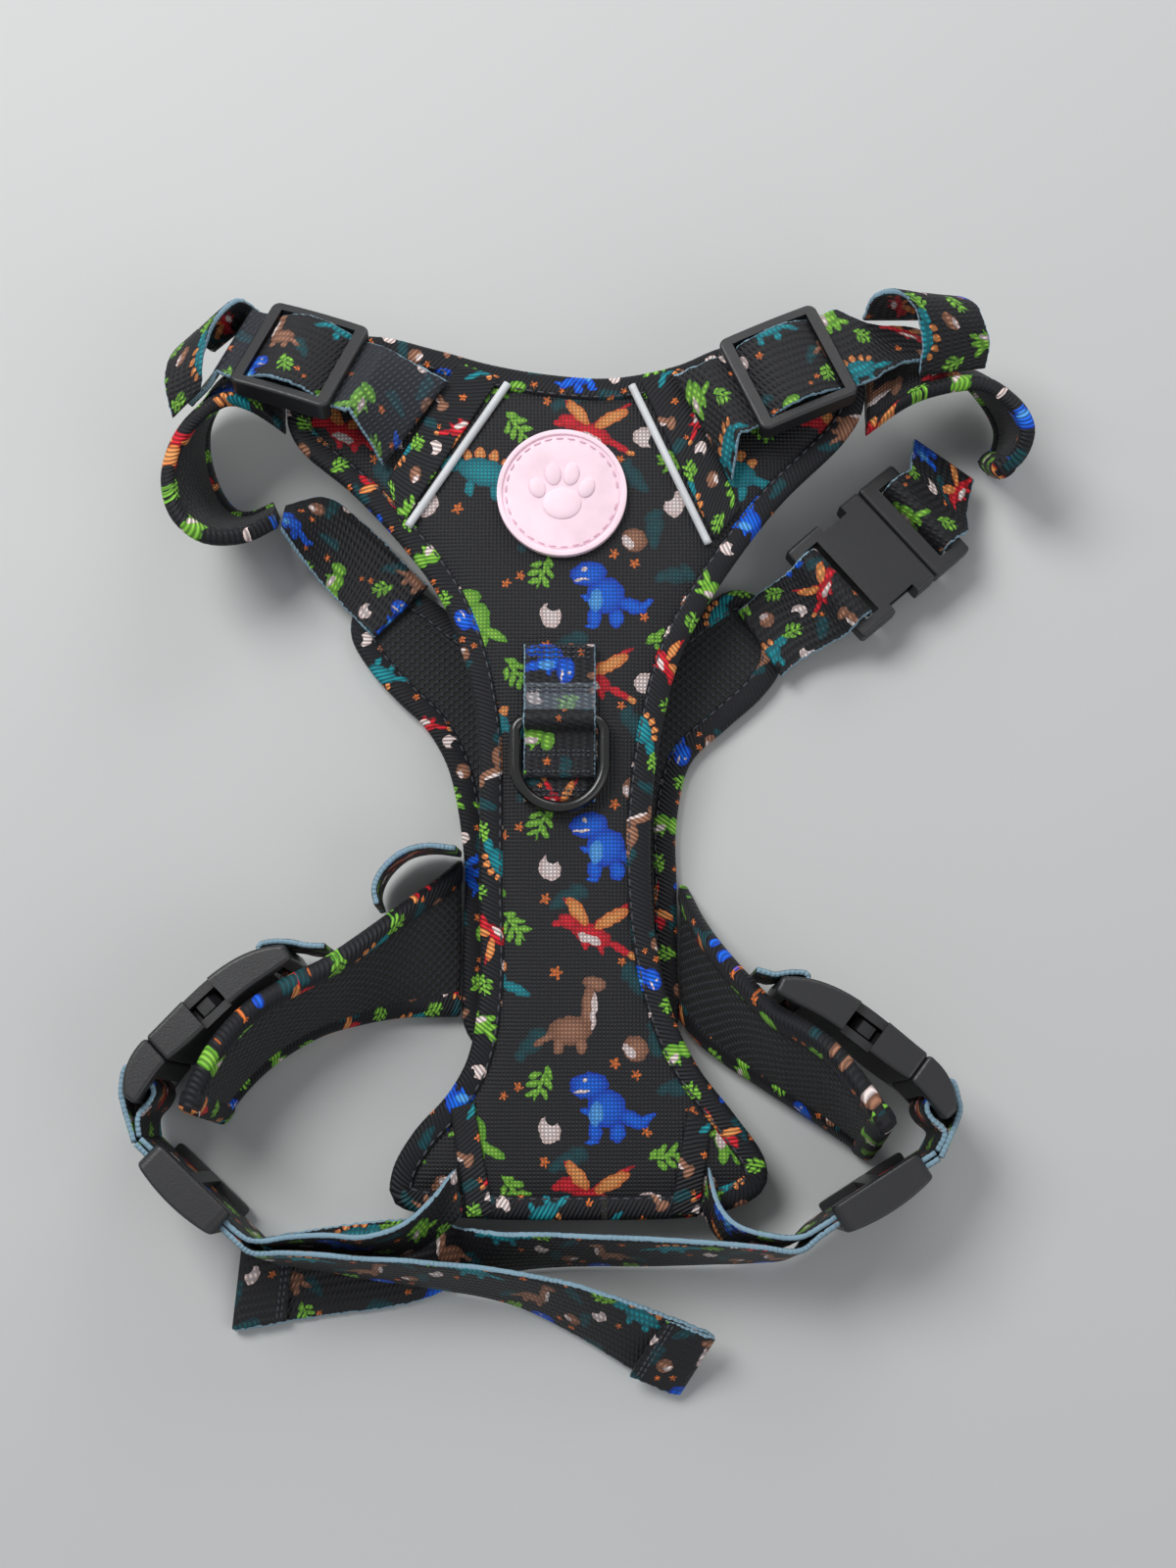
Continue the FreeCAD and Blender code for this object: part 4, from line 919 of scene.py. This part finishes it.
# The webbing runs straight for half a slider's length, its travel and a clearance, to each side of it.
sliding = {"shoulderLength": 30, "shoulderTravel": 3, "bellyLength": 27, "bellyTravel": 4, "clearance": 0.3}
shoulderStraight = sliding["shoulderLength"] / 2 + sliding["shoulderTravel"] + sliding["clearance"]
shoulderReach = shoulderStraight + webbing["thickness"] * 1.5
shoulderSliders = {
    "Left": placed((-78, 132, 34.8), (-0.93, 0.33, -0.12), (-0.05, 0.315, 0.95)),
    "Right": placed((59.5, 129.5, 33), (0.915, 0.40, -0.02), (-0.02, 0.1, 0.99)),
}
shoulderRoots = {"Left": [(-55.2, 103.5, 27.4), (-37, 128.5, 28.9)],
                 "Right": [(27.5, 130, 29.4), (44, 98.5, 27.5)]}
shoulderEnds = {
    "Left": ([(-104, 124, 35), (-109, 118.8, 34.6)], [(-101, 142.5, 18), (-113.5, 128.5, 12)]),
    "Right": ([(84, 144.5, 31), (97, 145.5, 26), (108, 143.5, 18)],
              [(92, 131.5, 34), (101, 131.5, 35), (108, 131.5, 35)]),
}
# Each strap's finish, and where the print starts along it and along its fold.
shoulderLooks = {"Left": ("strapPale", 10, 38), "Right": ("strap", 36, 30)}
# The webbing's rise over a slider's middle bar, as (along, up).
risingHump = [(11.3, 0.9), (10.4, 1.6), (8, 3.1), (4.5, 4.5)]
hump = [(-x, z) for x, z in risingHump] + [(0, 5.1)] + risingHump[::-1]
for side, place in shoulderSliders.items():
    run = [(x, 0) for x in (-shoulderReach, -shoulderStraight, 0, shoulderStraight, shoulderReach)]
    first, second = across(place, run)
    root, ends = shoulderRoots[side], shoulderEnds[side]
    rails = [[root[0]] + second + ends[0], [root[1]] + first + ends[1]]
    folds = across(place, hump, webbing["width"] / 2 - 0.4)
    if side == "Left":
        folds = folds[::-1]
    else:
        rails = rails[::-1]
    look, strapStart, foldStart = shoulderLooks[side]
    strap("shoulderStrap" + side, "shoulder_strap_" + side.lower(), *rails, held="stretched", look=look,
          uvStart=(strapStart, 0))
    strap("sliderFold" + side, None, *folds, held="stretched", body="shoulder_slider_" + side.lower(),
          uvStart=(foldStart, 26), pitch=1.0)

keepers = {
    "Right": ([(82, 148, 28), (83.5, 150, 38), (89, 148.5, 44), (94, 143, 44.5), (96.5, 135, 40),
               (96.5, 128.5, 33)],
              [(104, 149, 26), (106, 149.5, 37), (111, 145, 43), (114, 138.5, 43), (115.5, 134, 39.5),
               (115, 129.5, 36)]),
    "Left": ([(-91.8, 151.5, 24.7), (-96, 151, 34), (-101, 143, 39.5), (-104, 132, 41), (-105, 122, 38.2)],
             [(-106.5, 141.5, 19.7), (-111, 140, 29), (-114.5, 131, 37), (-115, 122, 39), (-113, 114, 37)]),
}
for side, rails in keepers.items():
    strap("keeper" + side, "keeper_" + side.lower(), *rails, held="folded", uvStart=(52, 4), pitch=1.2)

strap("neckLinkLeft", "neck_link_left",
      [(-84.5, 87, 21.5), (-80, 81, 14), (-74, 74, 8.5), (-66, 66, 6.1), (-59, 59, 6.1)],
      [(-86.5, 99.5, 4), (-74, 102, 5), (-62, 93, 6), (-50.5, 81.5, 6.1), (-43.5, 74.5, 6.1)],
      held="laid", uvStart=(60, 20))

neckBuckle = placed((92.3, 88, 10.2), (0.759, 0.651, 0), (0, 0, 1))
neckBar = {"buckleDepth": 8, "drop": 1, "clearance": 0.3}
overBar = neckBar["buckleDepth"] / 2 - neckBar["drop"] + neckBar["clearance"] + webbing["thickness"] / 2
upper = across(neckBuckle, [(7, -1), (7.1, 2.5), (9, overBar + 1), (12.8, overBar), (16.8, 1.5)])
strap("neckLinkRightUpper", "neck_link_right_upper", upper[0] + [(113.5, 96, 10.5), (116.3, 106, 8)],
      upper[1] + [(97.5, 113, 10.5), (99, 119, 8)], held="stretched", uvStart=(36, 8), pitch=1.2)
lower = across(neckBuckle, [(-21.3, -1), (-21.4, 2.5), (-23.4, overBar + 1), (-27.3, overBar), (-31.6, 0.5)])
lowerLink = strap("neckLinkRightLower", "neck_link_right_lower", lower[0] + [(66, 53, 6.4), (59, 47.5, 6.1)],
                  lower[1] + [(53.5, 73, 6.4), (46.5, 67, 6.1)], held="stretched", body=None, uvStart=(4, 44),
                  pitch=1.2)
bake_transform(lowerLink)

bellyBuckles = {
    "Left": placed((-110.3, -60.8, 19), (-0.722, -0.692, 0), (-0.692, 0.722, 0)),
    "Right": placed((89.8, -65.5, 19), (0.795, -0.606, 0), (0.606, 0.795, 0)),
}
bellySliders = {
    "Left": placed((-102, -96.5, 18.2), (0.737, -0.676, 0), (-0.676, -0.737, 0)),
    "Right": placed((79.5, -97.5, 18.2), (-0.85, -0.53, 0), (0.53, -0.85, 0)),
}
layer = (webbing["thickness"] + webbing["gap"]) / 2
bellyReach = sliding["bellyLength"] / 2 + sliding["bellyTravel"] + sliding["clearance"]
strapRuns = {
    "Left": ([(-83, -112.5, 4), (-76, -113, 3.2), (-66, -114, 3), (-56, -115, 3), (-47, -114.5, 6),
              (-40, -111.5, 11), (-30.8, -104, 15.1)],
             [(-83, -110, 29), (-76, -109, 28), (-66, -108.5, 27), (-56, -109, 27), (-46, -106, 27),
              (-39, -100, 24), (-32.8, -91.5, 15.8)]),
    "Right": ([(58, -111.5, 5), (50, -113, 6), (42, -112, 9), (37.5, -109, 12), (34.2, -103.4, 14.7)],
              [(58, -109, 29.5), (50, -108.5, 28), (42, -106, 26), (37.5, -100.5, 21.5),
               (35.6, -91.5, 15.4)]),
}
tailRuns = {
    "Left": ([(-84.5, -115.5, 4), (-77, -117.5, 3.4), (-67, -119, 3.4), (-57, -120.8, 4), (-46, -122.3, 4.6),
              (-36, -123.8, 4.4), (-24, -126, 3), (-13, -129.5, 2), (0, -136, 1.6), (10, -142, 1.5),
              (19, -147.5, 1.5), (26, -150.5, 1.5)],
             [(-84.5, -113, 29), (-77, -113, 28), (-67, -113.5, 27), (-57, -114.5, 26), (-46, -115, 25),
              (-36, -116, 24), (-25, -117, 23), (-12.5, -119, 22), (1.5, -122, 21), (15, -126.5, 18.5),
              (27, -131, 15), (35.5, -134.5, 11.5)]),
    "Right": ([(58, -115, 4), (48, -116.5, 3), (36, -117, 2.5), (20, -117.5, 2), (5, -117.5, 2),
               (-8, -118, 2), (-20, -119.5, 1.8), (-31, -123, 1.4), (-42, -127, 1.2), (-54, -129.5, 1.1),
               (-67, -131, 1.1), (-80, -133, 1.1), (-92, -135, 1.1)],
              [(58, -112.5, 29), (48, -111.5, 28.5), (36, -110.5, 28), (20, -109.5, 27), (5, -109, 25),
               (-8, -108.5, 23), (-20, -108.5, 19), (-30, -107.5, 11), (-40, -105.5, 3.4), (-51, -105.5, 1.3),
               (-65, -107, 1.1), (-78, -109, 1.1), (-90, -111, 1.1)]),
}
# The webbing's bend round a belly buckle's bars, as (along, up) in the buckle's own frame.
aroundMale = [(15.5, -9), (10.6, -8.2), (7.9, -6.4), (7.7, -2), (9.2, 2.9), (13.3, 0.2), (15.9, -3.2)]
aroundFemale = [(-36.4, -4.5), (-36.2, 0), (-37.6, 2.6), (-41, 0.6), (-44.2, -2.6)]
linkEnds = {"Left": [(-46.5, -6), (-50, -9.6)], "Right": [(-46.5, -3.6), (-49, -4.6)]}


def upright(rails):
    return sorted(rails, key=lambda rail: rail[0].z)


def throughSlider(place, level, before=0.0):
    return upright(across(place, [(-bellyReach - before, level), (0, level), (bellyReach, level)]))


def foldEnd(rails, length=13.0):  # the webbing's own end, turned back on itself and stitched down
    tips = [Vector(rail[-1]) for rail in rails]
    heading = (sum((Vector(rail[-1]) - Vector(rail[-2]) for rail in rails), Vector()) / 2).normalized()
    out = heading.cross(tips[1] - tips[0]).normalized()
    if out.z < 0:
        out = -out
    thick = webbing["thickness"] + 0.15
    turned = [(1.0, 0.25), (1.3, thick / 2), (0.9, thick * 0.85)]
    turned += [(f, thick) for f in (-1.0, -length * 0.5, -length)]
    folded = [[Vector(p) for p in rail] + [tip + heading * f + out * h for f, h in turned]
              for rail, tip in zip(rails, tips)]
    rows = []
    for f in (-length + 1.4, -length + 2.6):
        rows.append([(tips[0].lerp(tips[1], t) + heading * f + out * (thick + webbing["thickness"] / 2), out)
                     for t in np.linspace(0.05, 0.95, 9)])
    return folded, rows


for side in ("Left", "Right"):
    small = side.lower()
    slide, buckle = bellySliders[side], bellyBuckles[side]
    inner, outer = throughSlider(slide, -layer), throughSlider(slide, layer)
    strap("bellyStrap" + side, "belly_strap_" + small, *[a + b for a, b in zip(inner, strapRuns[side])],
          held="stretched", uvStart=(0, 12))
    tail, rows = foldEnd([a + b for a, b in zip(outer, tailRuns[side])])
    strap("bellyTail" + side, "belly_tail_" + small, *tail, held="laid", pitch=1.1,
          uvStart=(30 if side == "Left" else 8, 30))
    stitchRow("tailStitches" + side, rows, length=1.5, gap=0.4)
    innerLoop, outerLoop = throughSlider(slide, -layer, 0.6), throughSlider(slide, layer, 0.6)
    bend = upright(across(buckle, aroundMale))
    rails = [[a[0]] + b + [c[0]] for a, b, c in zip(innerLoop, bend, outerLoop)]
    looped = strap("bellyLoop" + side, "belly_loop_" + small, *rails, held="stretched", body=None, pitch=1.0)
    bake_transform(looped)
    strap("bellyLink" + side, "belly_link_" + small, *upright(across(buckle, aroundFemale + linkEnds[side])),
          held="stretched", pitch=1.0, uvStart=(14, 8))

strap("frontLoop", "front_loop",
      [(-33, -4.2, 3), (-41, -3.4, 3), (-48, -5, 3), (-53.5, -10, 3), (-56, -16, 3), (-54.8, -21, 4)],
      [(-33.6, -5.2, 22), (-41.5, -5, 25), (-48, -7, 25.5), (-53, -11.5, 25.5), (-55.2, -16.5, 25.5),
       (-54.5, -21, 25)],
      held="folded", pitch=1.0)
print("straps made")


for name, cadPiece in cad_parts.items():  # moulded and metal parts keep their CAD shape
    if not cadPiece.hide_render:
        cadPiece.data.materials.clear()
        cadPiece.data.materials.append(finish["metal" if name == "back_d_ring" else "plastic"])
print("hardware finished")


studio = {
    "eye": (3, -85.66, 528.1), "target": (3, 17, 0), "sensorHeight": 24, "lens": 28.5,
    "lamps": {"keyLight": ((-0.5, 0.5, 0.9), 0.5, 9.0), "fillLight": ((0.8, -0.5, 0.7), 0.8, 2.6),
              "rimLight": ((0.3, 0.9, 0.5), 0.5, 2.6)},  # place and size in metres, and watts
    "glow": ((0.9, 0.93, 1.0, 1), 0.3), "backdrop": ((0.7, 0.71, 0.71, 1), 1.0),
    "floor": (0.56, 0.57, 0.56, 1),
}


def makeStage():
    scene = bpy.context.scene
    camera = bpy.data.objects.new("camera", bpy.data.cameras.new("camera"))
    scene.collection.objects.link(camera)
    camera.data.sensor_fit = "VERTICAL"
    camera.data.sensor_height = studio["sensorHeight"]
    camera.data.lens = studio["lens"]
    eye, target = toFrame(studio["eye"]), toFrame(studio["target"])
    camera.location = eye
    camera.rotation_euler = (target - eye).to_track_quat("-Z", "Y").to_euler()
    scene.camera = camera
    for name, (where, size, power) in studio["lamps"].items():
        lamp = bpy.data.objects.new(name, bpy.data.lights.new(name, "AREA"))
        lamp.data.shape, lamp.data.size, lamp.data.energy = "SQUARE", size, power
        lamp.location = where
        lamp.rotation_euler = (-Vector(where)).to_track_quat("-Z", "Y").to_euler()
        scene.collection.objects.link(lamp)
    world = bpy.data.worlds.new("studio")
    world.use_nodes = True
    tree = world.node_tree
    tree.nodes.clear()
    glow, backdrop = (node(tree, "Background", Color=colour, Strength=strength)
                      for colour, strength in (studio["glow"], studio["backdrop"]))
    rays = node(tree, "LightPath").outputs
    seen = maths(tree, "MAXIMUM", rays["Is Camera Ray"], rays["Is Glossy Ray"])
    seen = maths(tree, "MAXIMUM", seen, rays["Is Transmission Ray"])
    mixed = node(tree, "MixShader", i0=seen, i1=glow.outputs[0], i2=backdrop.outputs[0])
    tree.links.new(mixed.outputs[0], tree.nodes.new("ShaderNodeOutputWorld").inputs[0])
    scene.world = world
    scene.view_settings.view_transform = "Standard"
    fresh()
    bpy.ops.mesh.primitive_plane_add(size=4, location=(0, 0, -0.0003))
    floor = bpy.context.object
    floor.name = "studioFloor"
    material, tree, shader = newMaterial("paleFloor", 0.8)
    shader.inputs["Base Color"].default_value = studio["floor"]
    floor.data.materials.append(material)


makeStage()
print("stage made")
